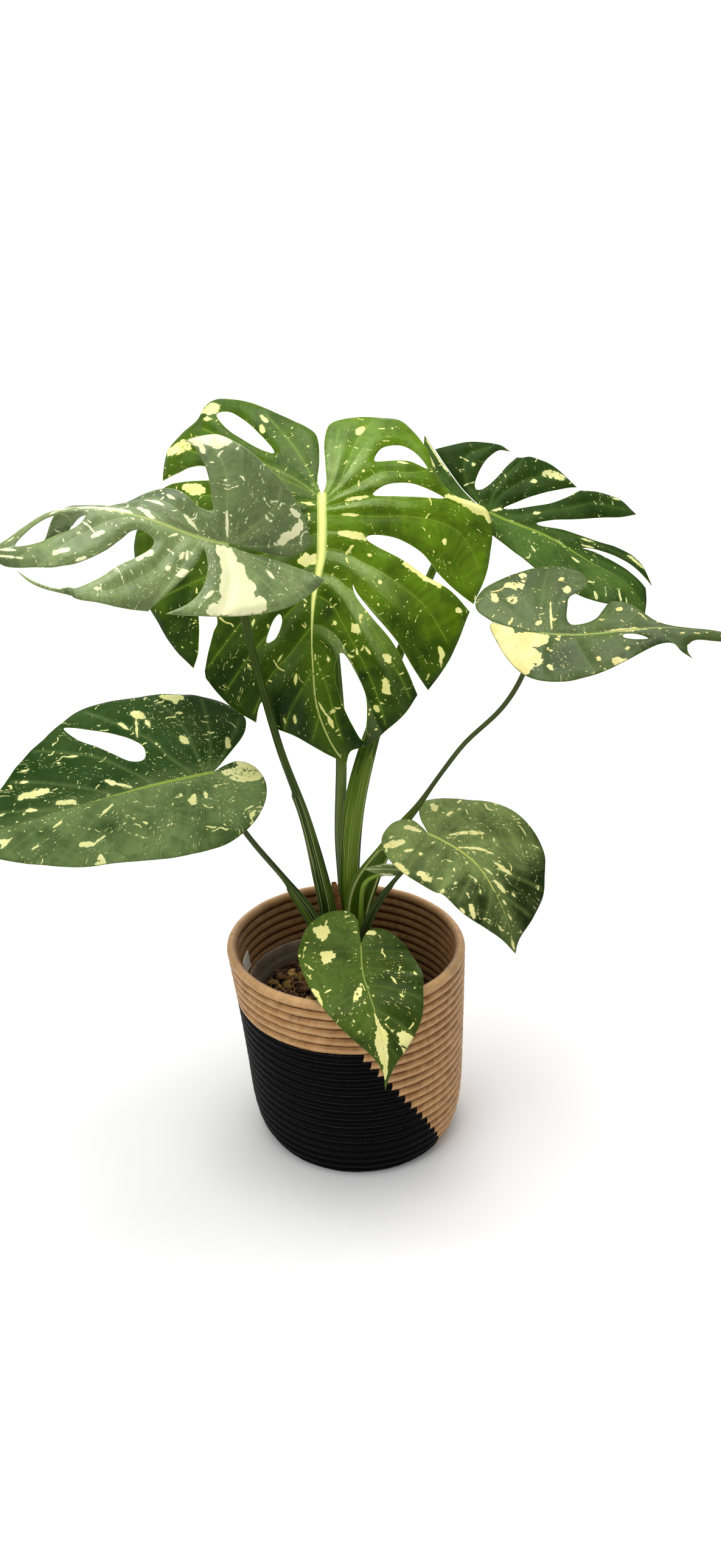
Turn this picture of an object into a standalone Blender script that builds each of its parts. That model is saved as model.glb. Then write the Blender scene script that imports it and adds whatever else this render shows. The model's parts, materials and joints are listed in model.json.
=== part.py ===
"""Potted variegated monstera in a coiled basket.

Metres, +Z up. The origin is the centre of the basket's flat base, and the front of the
plant, where the small leaf hangs over the rim, faces -Y. Leaf outlines and stations are in
millimetres, and are scaled once, where they are used.
"""

import math

import bmesh
import bpy
import numpy as np
from mathutils import geometry

NAME = "potted_monstera"
MM = 0.001
GAP = 0.0003

BASKET_HEIGHT = 0.280
BASKET_COILS = 22
BASKET_WALL = 0.013
BASKET_FLOOR = 0.0125
BASKET_LEAN = 0.016
LEAN_POWER = 1.5
BASKET_STEPS = 36
COIL_RELIEF = 0.0028
INNER_COILS = 9
# Outer radius of the coils' crests by height.
BASKET_OUTSIDE = ((0.0, 0.126), (0.012, 0.134), (0.035, 0.1418), (0.09, 0.147), (0.18, 0.1515), (0.28, 0.1578))

POT_CENTRE = (-0.024, 0.004)
POT_TOP = 0.215
POT_RIM_RADIUS = 0.114
POT_BASE_RADIUS = 0.088
POT_WALL = 0.0018
POT_LIP_WIDTH = 0.0045
POT_LIP_DROP = 0.014
POT_STEPS = 40
DRAIN_HOLES = 6
DRAIN_RADIUS = 0.006
DRAIN_RING = 0.062

SOIL_TOP = 0.188
SOIL_BUMP = 0.0045
SOIL_RINGS = 6

STEM_CENTRE = (-0.015, 0.0)
STEM_RADIUS = 0.0155
STEM_BOTTOM = 0.135
STEM_TOP = 0.218
STEM_HOLE_CLEARANCE = 0.0004

TAG_SIZE = (0.034, 0.0012, 0.025)
TAG_ANGLE = math.radians(174.5)
TAG_MIDDLE = 0.230

BLADE_THICKNESS = 0.0012
EDGE_STEP = 13.0
INNER_STEP = 27.0
STALK_SIDES = 8
STALK_RINGS = 13
# How far a stalk's end lies under the middle of its blade, and more where the blade droops round it.
SEAT_DEPTH = 0.0010
SEAT_EXTRA = {"a": 0.0006, "b": 0.0003, "d": 0.0003, "h": 0.0006}
SEAT_REACH = 2.5

# Each leaf has stations along its midrib: distance from the leaf's base, the point there,
# the way the leaf faces, and for the +x and -x halves how far the half droops in degrees and
# how much it curls in degrees a 100 mm. The outline is a loop of runs, each one smooth, that
# meet in corners, as (x, y): y runs from the base to the tip and x across, to the left of
# someone who faces the leaf with its tip down.
LEAVES = {
    "a": {
        "stations": (
            (-114, (-43, 115, 926), (0.0, -0.93, 0.36), (0, 0), (12, 12)),
            (0, (-41, 30, 851), (0.0, -0.93, 0.36), (4, 4), (12, 12)),
            (62, (-41, 0, 797), (0.0, -0.94, 0.33), (4, 4), (12, 12)),
            (127, (-41, -30, 740), (0.0, -0.95, 0.30), (3, 3), (12, 12)),
            (183, (-40, -50, 687), (0.0, -0.97, 0.24), (2, 2), (12, 12)),
            (244, (-40, -62, 628), (0.0, -0.98, 0.18), (2, 2), (12, 12)),
            (318, (-39, -62, 553), (0.0, -0.99, 0.14), (2, 2), (10, 10)),
        ),
        "outline": (
            ((0, 0), (-5, -16), (-4, -42), (-3, -78), (-9, -105), (-26, -115), (-56, -120), (-90, -121),
             (-110, -107), (-128, -80), (-137, -52), (-158, -24), (-188, -18), (-207, -12), (-214, 12),
             (-213, 45), (-205, 76), (-185, 121)),
            ((-185, 121), (-165, 106), (-142, 86), (-118, 61), (-88, 47), (-60, 45), (-52, 50), (-64, 58),
             (-92, 71), (-120, 87), (-145, 99), (-161, 111), (-179, 134)),
            ((-179, 134), (-165, 167), (-148, 198), (-125, 231)),
            ((-125, 231), (-107, 204), (-88, 173), (-62, 143), (-42, 117), (-36, 105), (-40, 120), (-59, 146),
             (-82, 173), (-98, 203), (-112, 236)),
            ((-112, 236), (-97, 260), (-76, 278), (-53, 296), (-32, 302), (-26, 318)),
            ((-26, 318), (-10, 309), (8, 298), (31, 285), (54, 275)),
            ((54, 275), (62, 254), (71, 243), (76, 252), (79, 268)),
            ((79, 268), (104, 254), (126, 235), (142, 215)),
            ((142, 207), (136, 180), (130, 157), (124, 141), (138, 109), (151, 114), (149, 136), (150, 180), (157, 204)),
            ((157, 204), (181, 178), (204, 142), (226, 108), (241, 76), (248, 40), (244, 6), (234, -28), (205, -55)),
            ((205, -55), (186, -56), (165, -52), (137, -44), (113, -34), (126, -54), (146, -69), (164, -73), (180, -70),
             (202, -68)),
            ((202, -68), (201, -92), (196, -115), (177, -131), (156, -144), (145, -163), (128, -170), (102, -161),
             (70, -143), (34, -116), (11, -97), (4, -78), (3, -45), (5, -18), (0, 0)),
        ),
        "holes": (
            ((-62, -52), (-72, -73), (-95, -81), (-114, -72), (-127, -53), (-104, -58), (-80, -55)),
            ((-60, -4), (-76, -20), (-100, -26), (-126, -22), (-148, -14), (-126, -9), (-90, -6)),
            ((-24, 185), (-36, 203), (-49, 232), (-51, 262), (-46, 289), (-34, 270), (-21, 239), (-14, 210), (-17, 189)),
            ((130, -145), (110, -142), (84, -113), (60, -76), (59, -66), (84, -85), (114, -116)),
            ((65, 170), (58, 149), (49, 139), (46, 148), (54, 166)),
        ),
    },
    "b": {
        "stations": (
            (-85, (-55, -124, 801), (-0.05, -0.66, 0.75), (-40, 4), (0, 8)),
            (0, (-131, -150, 829), (-0.05, -0.66, 0.75), (-38, 4), (0, 8)),
            (40, (-167, -162, 842), (-0.05, -0.66, 0.75), (-30, 4), (6, 8)),
            (67, (-190, -170, 853), (-0.08, -0.65, 0.75), (-12, 5), (12, 8)),
            (85, (-206, -176, 860), (-0.09, -0.65, 0.755), (5, 5), (64, 8)),
            (123, (-240, -188, 870), (-0.12, -0.64, 0.76), (34, 6), (75, 8)),
            (154, (-269, -198, 873), (-0.18, -0.64, 0.74), (36, 6), (80, 8)),
            (181, (-295, -203, 869), (-0.25, -0.64, 0.72), (30, 6), (95, 8)),
            (218, (-327, -207, 851), (-0.35, -0.66, 0.66), (34, 6), (90, 8)),
            (270, (-371, -210, 823), (-0.40, -0.66, 0.63), (34, 6), (40, 8)),
        ),
        "outline": (
            ((0, 0), (2, -10), (2, -34), (4, -60), (13, -77), (28, -82), (43, -74), (59, -59), (73, -42), (86, -18),
             (98, 6), (104, 36), (98, 65)),
            ((98, 65), (80, 53), (60, 36), (38, 25), (29, 23), (30, 40), (40, 62), (44, 78), (52, 92), (64, 106),
             (72, 124), (70, 146)),
            ((70, 146), (54, 134), (40, 130), (46, 144), (62, 162), (75, 186), (79, 210), (72, 238)),
            ((72, 238), (62, 214), (46, 190), (28, 172), (12, 163), (7, 176), (8, 204), (6, 236), (0, 264)),
            ((0, 264), (-13, 249), (-27, 239), (-42, 220), (-57, 198), (-60, 168), (-55, 147), (-44, 126), (-30, 110),
             (-18, 99), (-14, 88), (-20, 75), (-32, 78), (-48, 94), (-62, 116), (-76, 139), (-84, 164), (-80, 194),
             (-62, 217), (-36, 232)),
            ((-36, 232), (-62, 222), (-82, 203), (-98, 172), (-104, 130), (-101, 92), (-96, 67)),
            ((-96, 67), (-78, 54), (-54, 41), (-28, 29), (-12, 24), (-28, 19), (-52, 21), (-74, 31), (-92, 48)),
            ((-92, 48), (-88, 30), (-83, 8), (-74, -24), (-60, -57), (-42, -82), (-22, -100), (-6, -110)),
            ((-6, -110), (-3, -84), (-2, -45), (-2, -15), (0, 0)),
        ),
        "holes": (
            ((-8, 146), (-20, 156), (-25, 176), (-24, 200), (-12, 224), (-5, 206), (-4, 176), (-4, 152)),
        ),
    },
    "c": {
        "stations": (
            (-63, (-116, -30, 543), (-0.10, -0.56, 0.82), (0, 0), (8, 8)),
            (0, (-171, -60, 543), (-0.10, -0.56, 0.82), (0, 0), (8, 8)),
            (90, (-251, -100, 539), (-0.10, -0.56, 0.82), (0, 0), (8, 8)),
            (172, (-323, -140, 531), (-0.15, -0.56, 0.81), (0, 0), (8, 8)),
            (298, (-433, -200, 518), (-0.26, -0.57, 0.78), (0, 0), (8, 8)),
        ),
        "outline": (
            ((0, 0), (7, -16), (9, -35), (-1, -50), (-18, -56), (-38, -54), (-60, -42), (-82, -19), (-97, 10),
             (-102, 45), (-100, 90), (-90, 138), (-82, 176), (-67, 213), (-42, 257), (-20, 283), (0, 298)),
            ((0, 298), (26, 274), (60, 232), (92, 202), (122, 162), (149, 123), (157, 98), (155, 52), (148, 0),
             (128, -43), (103, -66), (80, -73), (62, -68), (44, -54), (22, -28), (0, 0)),
        ),
        "holes": (
            ((132, 134), (112, 108), (84, 79), (62, 66), (42, 71), (44, 87), (72, 108), (104, 128)),
        ),
    },
    "d": {
        "stations": (
            (-115, (90, 150, 895), (0.15, -0.81, 0.56), (15, -6), (0, 8)),
            (0, (161, 100, 820), (0.15, -0.81, 0.56), (5, -6), (0, 8)),
            (74, (228, 80, 795), (0.20, -0.81, 0.55), (0, 0), (8, 8)),
            (143, (285, 55, 765), (0.30, -0.81, 0.51), (0, 0), (8, 8)),
            (189, (321, 35, 746), (0.41, -0.79, 0.46), (0, 0), (8, 8)),
            (228, (343, 20, 718), (0.41, -0.79, 0.46), (0, 0), (8, 8)),
        ),
        "outline": (
            ((0, 0), (-2, -20), (-1, -62), (-4, -106)),
            ((-4, -106), (-37, -97), (-59, -85), (-74, -70), (-79, -49)),
            ((-79, -49), (-69, -62), (-51, -61), (-32, -52), (-14, -38), (-18, -28), (-40, -25), (-62, -28), (-80, -28)),
            ((-80, -28), (-88, -4), (-93, 22), (-94, 50), (-83, 77)),
            ((-83, 77), (-64, 62), (-46, 44), (-28, 26), (-13, 13), (-19, 29), (-38, 57), (-57, 72), (-81, 81)),
            ((-81, 81), (-95, 97), (-104, 118), (-97, 147)),
            ((-97, 147), (-73, 123), (-44, 96), (-20, 69), (-10, 58), (-10, 68), (-19, 90), (-28, 118), (-37, 152),
             (-38, 180), (-29, 207)),
            ((-29, 207), (-28, 184), (-26, 156), (-20, 132), (-11, 118), (-16, 134), (-18, 156), (-18, 182), (-19, 206)),
            ((-19, 206), (-9, 219), (4, 232)),
            ((4, 232), (26, 212), (40, 190), (45, 160), (47, 125), (45, 84), (37, 52), (28, 26), (22, 4), (20, -22),
             (22, -52), (19, -84), (12, -110), (4, -128)),
            ((4, -128), (3, -100), (1, -62), (2, -20), (0, 0)),
        ),
        "holes": (),
    },
    "e": {
        "stations": (
            (-59, (148, -70, 729), (0.05, -0.60, 0.80), (0, 0), (8, 8)),
            (0, (199, -100, 724), (0.05, -0.60, 0.80), (0, 0), (8, 8)),
            (71, (259, -135, 733), (0.05, -0.60, 0.80), (0, 0), (8, 8)),
            (104, (288, -150, 741), (0.05, -0.65, 0.75), (0, 0), (8, 8)),
            (140, (320, -165, 747), (0.05, -0.71, 0.71), (4, 4), (20, 20)),
            (193, (370, -180, 745), (0.05, -0.71, 0.71), (10, 30), (60, 90)),
            (240, (416, -187, 737), (0.05, -0.71, 0.71), (10, 40), (60, 90)),
        ),
        "outline": (
            ((0, 0), (-2, -18), (-2, -40), (-3, -62), (-9, -79), (-20, -87), (-38, -89), (-60, -82), (-84, -67),
             (-103, -50), (-112, -26), (-111, -2), (-103, 14), (-90, 27)),
            ((-90, 27), (-75, 26), (-62, 13), (-46, 16), (-26, 23), (-16, 32), (-16, 46), (-22, 60), (-34, 66),
             (-44, 72), (-42, 83), (-34, 98), (-21, 112), (-9, 127), (-3, 144), (-2, 170), (-4, 205), (0, 236)),
            ((0, 236), (6, 214), (9, 190), (11, 170), (18, 162)),
            ((18, 162), (25, 164), (31, 170)),
            ((31, 170), (25, 157), (17, 147), (20, 130), (37, 104), (53, 75), (63, 48), (65, 22), (58, 0), (42, -22),
             (24, -41), (3, -59)),
            ((3, -59), (1, -40), (1, -18), (0, 0)),
        ),
        "holes": (
            ((5, 95), (6, 108), (12, 121), (13, 108), (10, 96)),
        ),
    },
    "f": {
        "stations": (
            (-39, (55, -20, 461), (0.10, -0.61, 0.79), (0, 0), (8, 8)),
            (0, (87, -40, 453), (0.10, -0.61, 0.79), (0, 0), (8, 8)),
            (38, (118, -60, 444), (0.12, -0.66, 0.74), (0, 0), (8, 8)),
            (76, (146, -80, 428), (0.16, -0.72, 0.67), (0, 0), (8, 8)),
            (106, (161, -100, 411), (0.20, -0.76, 0.61), (0, 0), (8, 8)),
            (141, (176, -115, 383), (0.30, -0.81, 0.51), (0, 0), (8, 8)),
            (195, (190, -125, 333), (0.30, -0.84, 0.45), (0, 0), (8, 8)),
        ),
        "outline": (
            ((0, 0), (-13, -19), (-27, -30), (-42, -30), (-58, -12), (-72, 16), (-84, 44), (-90, 66), (-86, 88),
             (-75, 115), (-58, 142), (-34, 161), (-10, 179), (0, 195)),
            ((0, 195), (13, 172), (30, 148), (48, 118), (59, 80), (64, 36), (63, 2), (53, -28), (37, -46), (18, -49),
             (2, -43), (-7, -28), (-4, -12), (0, 0)),
        ),
        "holes": (),
    },
    "g": {
        "stations": (
            (-35, (2, -45, 335), (0.0, -0.40, 0.92), (0, 0), (8, 8)),
            (0, (4, -75, 317), (0.0, -0.40, 0.92), (0, 0), (8, 8)),
            (42, (6, -115, 303), (0.0, -0.40, 0.92), (0, 0), (8, 8)),
            (96, (17, -165, 291), (0.0, -0.50, 0.86), (0, 0), (8, 8)),
            (137, (28, -191, 260), (0.05, -0.80, 0.60), (0, 0), (8, 8)),
            (184, (33, -203, 214), (0.10, -0.95, 0.30), (0, 0), (8, 8)),
            (202, (33, -206, 196), (0.10, -0.95, 0.30), (0, 0), (8, 8)),
        ),
        "outline": (
            ((0, 0), (-4, -9), (-12, -18), (-28, -19), (-44, -10), (-58, 8), (-69, 33), (-72, 60), (-66, 91),
             (-55, 123), (-38, 145), (-16, 168), (-5, 187), (0, 204)),
            ((0, 204), (3, 180), (14, 159), (36, 129), (55, 93), (68, 52), (79, 14), (76, -6), (68, -27), (50, -43),
             (30, -49), (12, -46), (3, -35), (1, -18), (0, 0)),
        ),
        "holes": (),
    },
    "h": {
        "stations": (
            (0, (52, -21, 393), (0.0, -0.60, 0.80), (0, 0), (160, 160)),
            (25, (30, -32, 399), (0.0, -0.60, 0.80), (0, 0), (300, 300)),
            (54, (7, -45, 406), (0.0, -0.60, 0.80), (0, 0), (300, 300)),
        ),
        "outline": (
            ((0, 0), (-3, -4), (-6, -3), (-8, 4), (-9, 15), (-7, 30), (-3, 44), (0, 54)),
            ((0, 54), (3, 44), (7, 30), (10, 15), (9, 4), (7, -3), (3, -4), (0, 0)),
        ),
        "holes": (),
    },
}

# Each stalk's middle line from the stem up, with half its width across the view and half its depth.
STALKS = {
    "a": (
        (-23.4, 20.7, 188.4, 6.2, 6.2), (-23.4, 21.8, 225, 6.4, 6.2), (-20, 28, 280, 8, 6), (-18, 32, 335, 8.5, 6.5),
        (-22, 35, 400, 8, 6.5), (-21, 38, 515, 7, 6), (-26, 55, 620, 6.5, 6), (-34, 74, 710, 5.5, 5.5),
        (-40, 80, 785, 5, 5), (-42, 66, 838, 4.6, 4.6),
    ),
    "b": (
        (-35.6, 8.8, 188.4, 6.2, 6.2), (-36.6, 8.4, 222, 6.6, 5.8), (-39, 0, 275, 12, 4.8), (-40, -5, 328, 11.5, 4.6),
        (-46, -10, 368, 10.5, 4.6), (-56.5, -20, 427, 8.2, 4.6), (-68, -30, 481, 6.2, 4.6), (-79, -42, 523, 5.2, 4.6),
        (-90, -62, 570, 4.8, 4.6), (-109, -80, 660, 4.6, 4.4), (-121, -109, 746, 4.2, 4.2), (-129, -130, 797, 4, 4),
    ),
    "c": (
        (-35.8, -8.5, 188.4, 6.2, 6.2), (-36.8, -9.6, 218, 6.6, 5.4), (-44, -17, 270, 8.5, 4.4), (-57, -20, 318, 9.5, 4),
        (-72, -21, 346, 8, 4), (-87, -23, 372, 4.8, 3.8), (-110, -30, 408, 3.8, 3.6), (-137, -40, 452, 3.5, 3.5),
        (-156, -45, 492, 3.4, 3.4), (-169, -46, 520, 3.4, 3.4),
    ),
    "d": (
        (-6.2, 20.6, 188.4, 6.2, 6.2), (-6.2, 20.8, 225, 6.6, 6), (-10, 16, 270, 11, 6), (-12, 13, 332, 13.5, 6.5),
        (-11, 12, 390, 14, 7), (-3, 20, 471, 13.5, 7.5), (13, 40, 534, 11.5, 7.5), (46, 66, 632, 6.5, 6.2),
        (92, 100, 745, 5.2, 5.2), (135, 122, 795, 4.6, 4.6),
    ),
    "e": (
        (5.8, 8.5, 188.4, 6.2, 6.2), (6.4, 8, 222, 6.6, 5.4), (3, 2, 252, 10, 4.6), (-1, 0, 288, 14.5, 4),
        (0, 0, 326, 17, 3.8), (9, -3, 363, 17.5, 3.8), (27, -6, 401, 11.5, 4), (44, -9, 430, 8.5, 4),
        (57, -11, 452, 6.5, 3.8), (72, -18, 476, 4.6, 3.4), (89, -28, 508, 3.1, 3), (112, -40, 550, 3, 3),
        (128, -48, 576, 3, 3), (163, -66, 621, 3, 3), (187, -80, 672, 3, 3), (197, -88, 700, 3, 3),
    ),
    "f": (
        (-6.6, -20.7, 188.4, 6, 6), (-5.6, -21, 215, 6, 5.4), (1, -22, 265, 6, 4.6), (10, -24, 307, 6, 4.4),
        (22, -26, 341, 5.4, 4), (38, -30, 370, 3.6, 3.2), (53, -35, 393, 2.7, 2.7), (71, -39, 419, 2.7, 2.7),
        (82, -38, 437, 2.7, 2.7),
    ),
    "g": (
        (-23.8, -20.5, 188.4, 6, 6), (-23.4, -22.4, 212, 5.8, 5.2), (-16, -33, 244, 4.6, 4.2), (-6, -54, 276, 3.4, 3.4),
        (2, -69, 297, 3, 3),
    ),
    "h": (
        (5.6, -8.9, 188.4, 5.6, 5.6), (6, -10.4, 215, 5, 4.6), (4, -13, 270, 3.8, 3.2), (4, -13.5, 314, 3.4, 2.8),
        (5, -14, 351, 3, 2.6), (10, -15, 371, 2.9, 2.5), (20, -15, 379, 2.7, 2.4), (35, -14.5, 383, 2.3, 2.2),
    ),
}

# The dried sheath between two stalks, on the stem's top.
DRY_SHEATH = (
    (-18, 1, 218.4, 3.2, 1.2), (-19.5, 1.5, 245, 4.4, 1.2), (-22.5, 2.5, 285, 4.8, 1), (-26.5, 4, 325, 4.6, 0.8),
    (-31, 4, 362, 3, 0.6),
)

COLOURS = {
    "leaf": (0.075, 0.150, 0.050, 1.0),
    "stalk": (0.110, 0.190, 0.045, 1.0),
    "stem": (0.120, 0.140, 0.055, 1.0),
    "dry": (0.210, 0.090, 0.035, 1.0),
    "soil": (0.060, 0.034, 0.020, 1.0),
    "pot": (0.180, 0.165, 0.150, 1.0),
    "basket": (0.300, 0.180, 0.090, 1.0),
    "tag": (0.550, 0.500, 0.420, 1.0),
}


def clear_scene():
    for obj in list(bpy.data.objects):
        bpy.data.objects.remove(obj, do_unlink=True)


def collection(name):
    made = bpy.data.collections.new(name)
    bpy.context.scene.collection.children.link(made)
    return made


def material(name, roughness):
    made = bpy.data.materials.new(name)
    made.use_nodes = True
    shader = made.node_tree.nodes["Principled BSDF"]
    shader.inputs["Base Color"].default_value = COLOURS[name]
    shader.inputs["Roughness"].default_value = roughness
    shader.inputs["Metallic"].default_value = 0.0
    return made


def add_object(name, mesh, where, finish):
    mesh.materials.append(finish)
    obj = bpy.data.objects.new(name, mesh)
    where.objects.link(obj)
    return obj


def unit(vector):
    vector = np.asarray(vector, float)
    return vector / np.linalg.norm(vector, axis=-1, keepdims=True)


def natural_spline(knots, values):
    """A natural cubic through the values at the knots, straight on past both ends."""
    knots = np.asarray(knots, float)
    values = np.asarray(values, float).reshape(len(knots), -1)
    count = len(knots)
    steps = np.diff(knots)
    matrix = np.eye(count)
    right = np.zeros_like(values)
    for i in range(1, count - 1):
        matrix[i, i - 1 : i + 2] = steps[i - 1], 2 * (steps[i - 1] + steps[i]), steps[i]
        right[i] = 3 * ((values[i + 1] - values[i]) / steps[i] - (values[i] - values[i - 1]) / steps[i - 1])
    bend = np.linalg.solve(matrix, right)
    slope = np.diff(values, axis=0) / steps[:, None] - steps[:, None] * (2 * bend[:-1] + bend[1:]) / 3
    twist = np.diff(bend, axis=0) / (3 * steps[:, None])
    last = slope[-1] + 2 * bend[-2] * steps[-1] + 3 * twist[-1] * steps[-1] ** 2

    def at(where):
        where = np.atleast_1d(np.asarray(where, float))
        i = np.clip(np.searchsorted(knots, where) - 1, 0, count - 2)
        t = (where - knots[i])[:, None]
        inside = values[i] + slope[i] * t + bend[i] * t**2 + twist[i] * t**3
        before = values[0] + slope[0] * (where - knots[0])[:, None]
        after = values[-1] + last * (where - knots[-1])[:, None]
        inside = np.where((where < knots[0])[:, None], before, inside)
        return np.where((where > knots[-1])[:, None], after, inside)

    return at


def leaf_frame(stations):
    """Functions of the distance along the midrib: the frame there, the droop and the curl."""
    along = [station[0] for station in stations]
    middle = natural_spline(along, [station[1] for station in stations])
    facing = natural_spline(along, [unit(station[2]) for station in stations])
    droop = natural_spline(along, [station[3] for station in stations])
    curl = natural_spline(along, [station[4] for station in stations])

    def frame(y):
        step = 0.1
        tangent = unit(middle(y + step) - middle(y - step))
        face = facing(y)
        face = unit(face - (face * tangent).sum(axis=1, keepdims=True) * tangent)
        return middle(y), tangent, face, np.cross(tangent, face)

    return frame, droop, curl


def leaf_surface(stations):
    """The map from flat leaf coordinates in millimetres to points in space."""
    frame, droop, curl = leaf_frame(stations)

    def at(x, y):
        middle, _, face, across = frame(y)
        half = (x < 0).astype(int)
        rows = np.arange(len(x))
        start = np.radians(droop(y))[rows, half]
        bend = np.radians(curl(y))[rows, half] / 100
        bend = np.where(np.abs(bend) < 1e-7, 1e-7, bend)
        out = np.abs(x)
        side = (np.sin(start + bend * out) - np.sin(start)) / bend
        drop = (np.cos(start) - np.cos(start + bend * out)) / bend
        return middle + across * (np.sign(x) * side)[:, None] - face * drop[:, None]

    return at


def smooth_run(points, step, closed=False):
    """Points about a step apart on a Catmull-Rom curve through the given ones."""
    points = [np.array(point, float) for point in points]
    count = len(points)
    made = []
    for i in range(count if closed else count - 1):
        p1 = points[i]
        p2 = points[(i + 1) % count]
        p0 = points[i - 1] if closed or i else 2 * p1 - p2
        p3 = points[(i + 2) % count] if closed or i < count - 2 else 2 * p2 - p1
        parts = max(1, round(np.linalg.norm(p2 - p1) / step))
        for t in np.arange(parts) / parts:
            made.append(
                0.5 * (2 * p1 + (p2 - p0) * t + (2 * p0 - 5 * p1 + 4 * p2 - p3) * t**2
                       + (3 * p1 - p0 - 3 * p2 + p3) * t**3)
            )
    return made


def thinned(loop, step):
    """Drops points that lie near to the last kept one and hardly turn the outline."""
    kept = [loop[0]]
    for before, point, after in zip(loop, loop[1:], loop[2:] + loop[:1]):
        turn = abs(math.remainder(math.atan2(*(after - point)) - math.atan2(*(point - before)), 2 * math.pi))
        if np.linalg.norm(point - kept[-1]) > step * (0.45 if turn > 0.35 else 0.8):
            kept.append(point)
    return kept


def inside(points, loop):
    """Which points lie inside the loop, by counting crossings."""
    found = np.zeros(len(points), bool)
    for (x1, y1), (x2, y2) in zip(loop, np.roll(loop, -1, axis=0)):
        crosses = (y1 > points[:, 1]) != (y2 > points[:, 1])
        rise = y2 - y1 if y2 != y1 else 1e-9
        found ^= crosses & (points[:, 0] < (x2 - x1) * (points[:, 1] - y1) / rise + x1)
    return found


def far_from(points, loops, distance):
    keep = np.ones(len(points), bool)
    for loop in loops:
        for start, end in zip(loop, np.roll(loop, -1, axis=0)):
            way = end - start
            share = np.clip(((points - start) @ way) / (way @ way), 0, 1)
            keep &= np.linalg.norm(points - start - share[:, None] * way, axis=1) > distance
    return keep


def flat_leaf(leaf, edge_step, inner_step):
    """The leaf's flat triangles: its loops, a staggered grid of inner points, and the faces between them."""
    outline = []
    for run in leaf["outline"]:
        outline += smooth_run(run, edge_step)
    loops = [np.array(thinned(outline, edge_step))]
    for hole in leaf["holes"]:
        loops.append(np.array(thinned(smooth_run(hole, edge_step, closed=True), edge_step)))
    low = loops[0].min(axis=0)
    high = loops[0].max(axis=0)
    rows = np.arange(low[1], high[1], inner_step * math.sqrt(3) / 2)
    grid = [
        (x + (row % 2) * inner_step / 2, y)
        for row, y in enumerate(rows)
        for x in np.arange(low[0], high[0], inner_step)
    ]
    grid = np.array(grid)
    grid = grid[inside(grid, loops[0])]
    for hole in loops[1:]:
        grid = grid[~inside(grid, hole)]
    grid = grid[far_from(grid, loops, inner_step * 0.45)]
    points = np.concatenate(loops + [grid])
    edges = []
    start = 0
    for loop in loops:
        edges += [(start + i, start + (i + 1) % len(loop)) for i in range(len(loop))]
        start += len(loop)
    found = geometry.delaunay_2d_cdt([tuple(point) for point in points], edges, [], 0, 1e-6)
    flat = np.array([tuple(point) for point in found[0]])
    faces = np.array([list(face) for face in found[2]])
    middles = flat[faces].mean(axis=1)
    keep = inside(middles, loops[0])
    for hole in loops[1:]:
        keep &= ~inside(middles, hole)
    return flat, faces[keep]


def blade(name, leaf, where, finish):
    flat, faces = flat_leaf(leaf, EDGE_STEP, INNER_STEP)
    points = leaf_surface(leaf["stations"])(flat[:, 0], flat[:, 1]) * MM
    used, faces = np.unique(faces, return_inverse=True)
    faces = faces.reshape(-1, 3)
    points = points[used]
    front = leaf_frame(leaf["stations"])[0](flat[used, 1])[2]
    corners = points[faces]
    normals = np.cross(corners[:, 1] - corners[:, 0], corners[:, 2] - corners[:, 0])
    if (normals * front[faces[:, 0]]).sum() < 0:
        faces = faces[:, ::-1]
    mesh = bpy.data.meshes.new(name)
    mesh.from_pydata(points.tolist(), [], faces.tolist())
    mesh.shade_smooth()
    obj = add_object(name, mesh, where, finish)
    solid = obj.modifiers.new("Solidify", "SOLIDIFY")
    solid.thickness = BLADE_THICKNESS
    solid.offset = 0.0
    return obj


def leaf_seat(letter):
    """Where a stalk ends under its blade, and the way it points there."""
    frame = leaf_frame(LEAVES[letter]["stations"])[0]
    middle, _, face, _ = frame(np.array([3.0]))
    depth = SEAT_DEPTH + SEAT_EXTRA.get(letter, 0.0)
    return middle[0] - face[0] * depth / MM, face[0]


def loft(name, route, where, finish, end_facing=None, sides=STALK_SIDES, rings=STALK_RINGS):
    """A closed tube through oval rings; its wide way lies across the view."""
    route = np.array(route, float)
    lengths = np.concatenate([[0], np.cumsum(np.linalg.norm(np.diff(route[:, :3], axis=0), axis=1))])
    curve = natural_spline(lengths, route)
    places = np.unique(np.concatenate([np.linspace(0, lengths[-1], rings), lengths[1:-1]]))
    places = places[np.concatenate([[True], np.diff(places) > lengths[-1] / rings / 3])]
    places[-1] = lengths[-1]
    values = curve(places)
    tangents = unit(curve(places + 0.1)[:, :3] - curve(places - 0.1)[:, :3])
    tangents[0] = (0, 0, 1)
    if end_facing is not None:
        tangents[-1] = end_facing
    shape = bmesh.new()
    made = []
    for value, tangent in zip(values, tangents):
        wide = unit(np.cross(tangent, (0, 1, 0.001)))
        deep = np.cross(wide, tangent)
        ring = []
        for i in range(sides):
            turn = 2 * math.pi * (i + 0.5) / sides
            offset = wide * value[3] * math.cos(turn) + deep * value[4] * math.sin(turn)
            ring.append(shape.verts.new((value[:3] + offset) * MM))
        made.append(ring)
    for lower, upper in zip(made, made[1:]):
        for i in range(sides):
            j = (i + 1) % sides
            shape.faces.new((lower[i], lower[j], upper[j], upper[i]))
    shape.faces.new(made[0][::-1])
    shape.faces.new(made[-1])
    bmesh.ops.recalc_face_normals(shape, faces=shape.faces)
    mesh = bpy.data.meshes.new(name)
    shape.to_mesh(mesh)
    shape.free()
    mesh.shade_smooth()
    mesh.set_sharp_from_angle(angle=math.radians(50))
    return add_object(name, mesh, where, finish)


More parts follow.
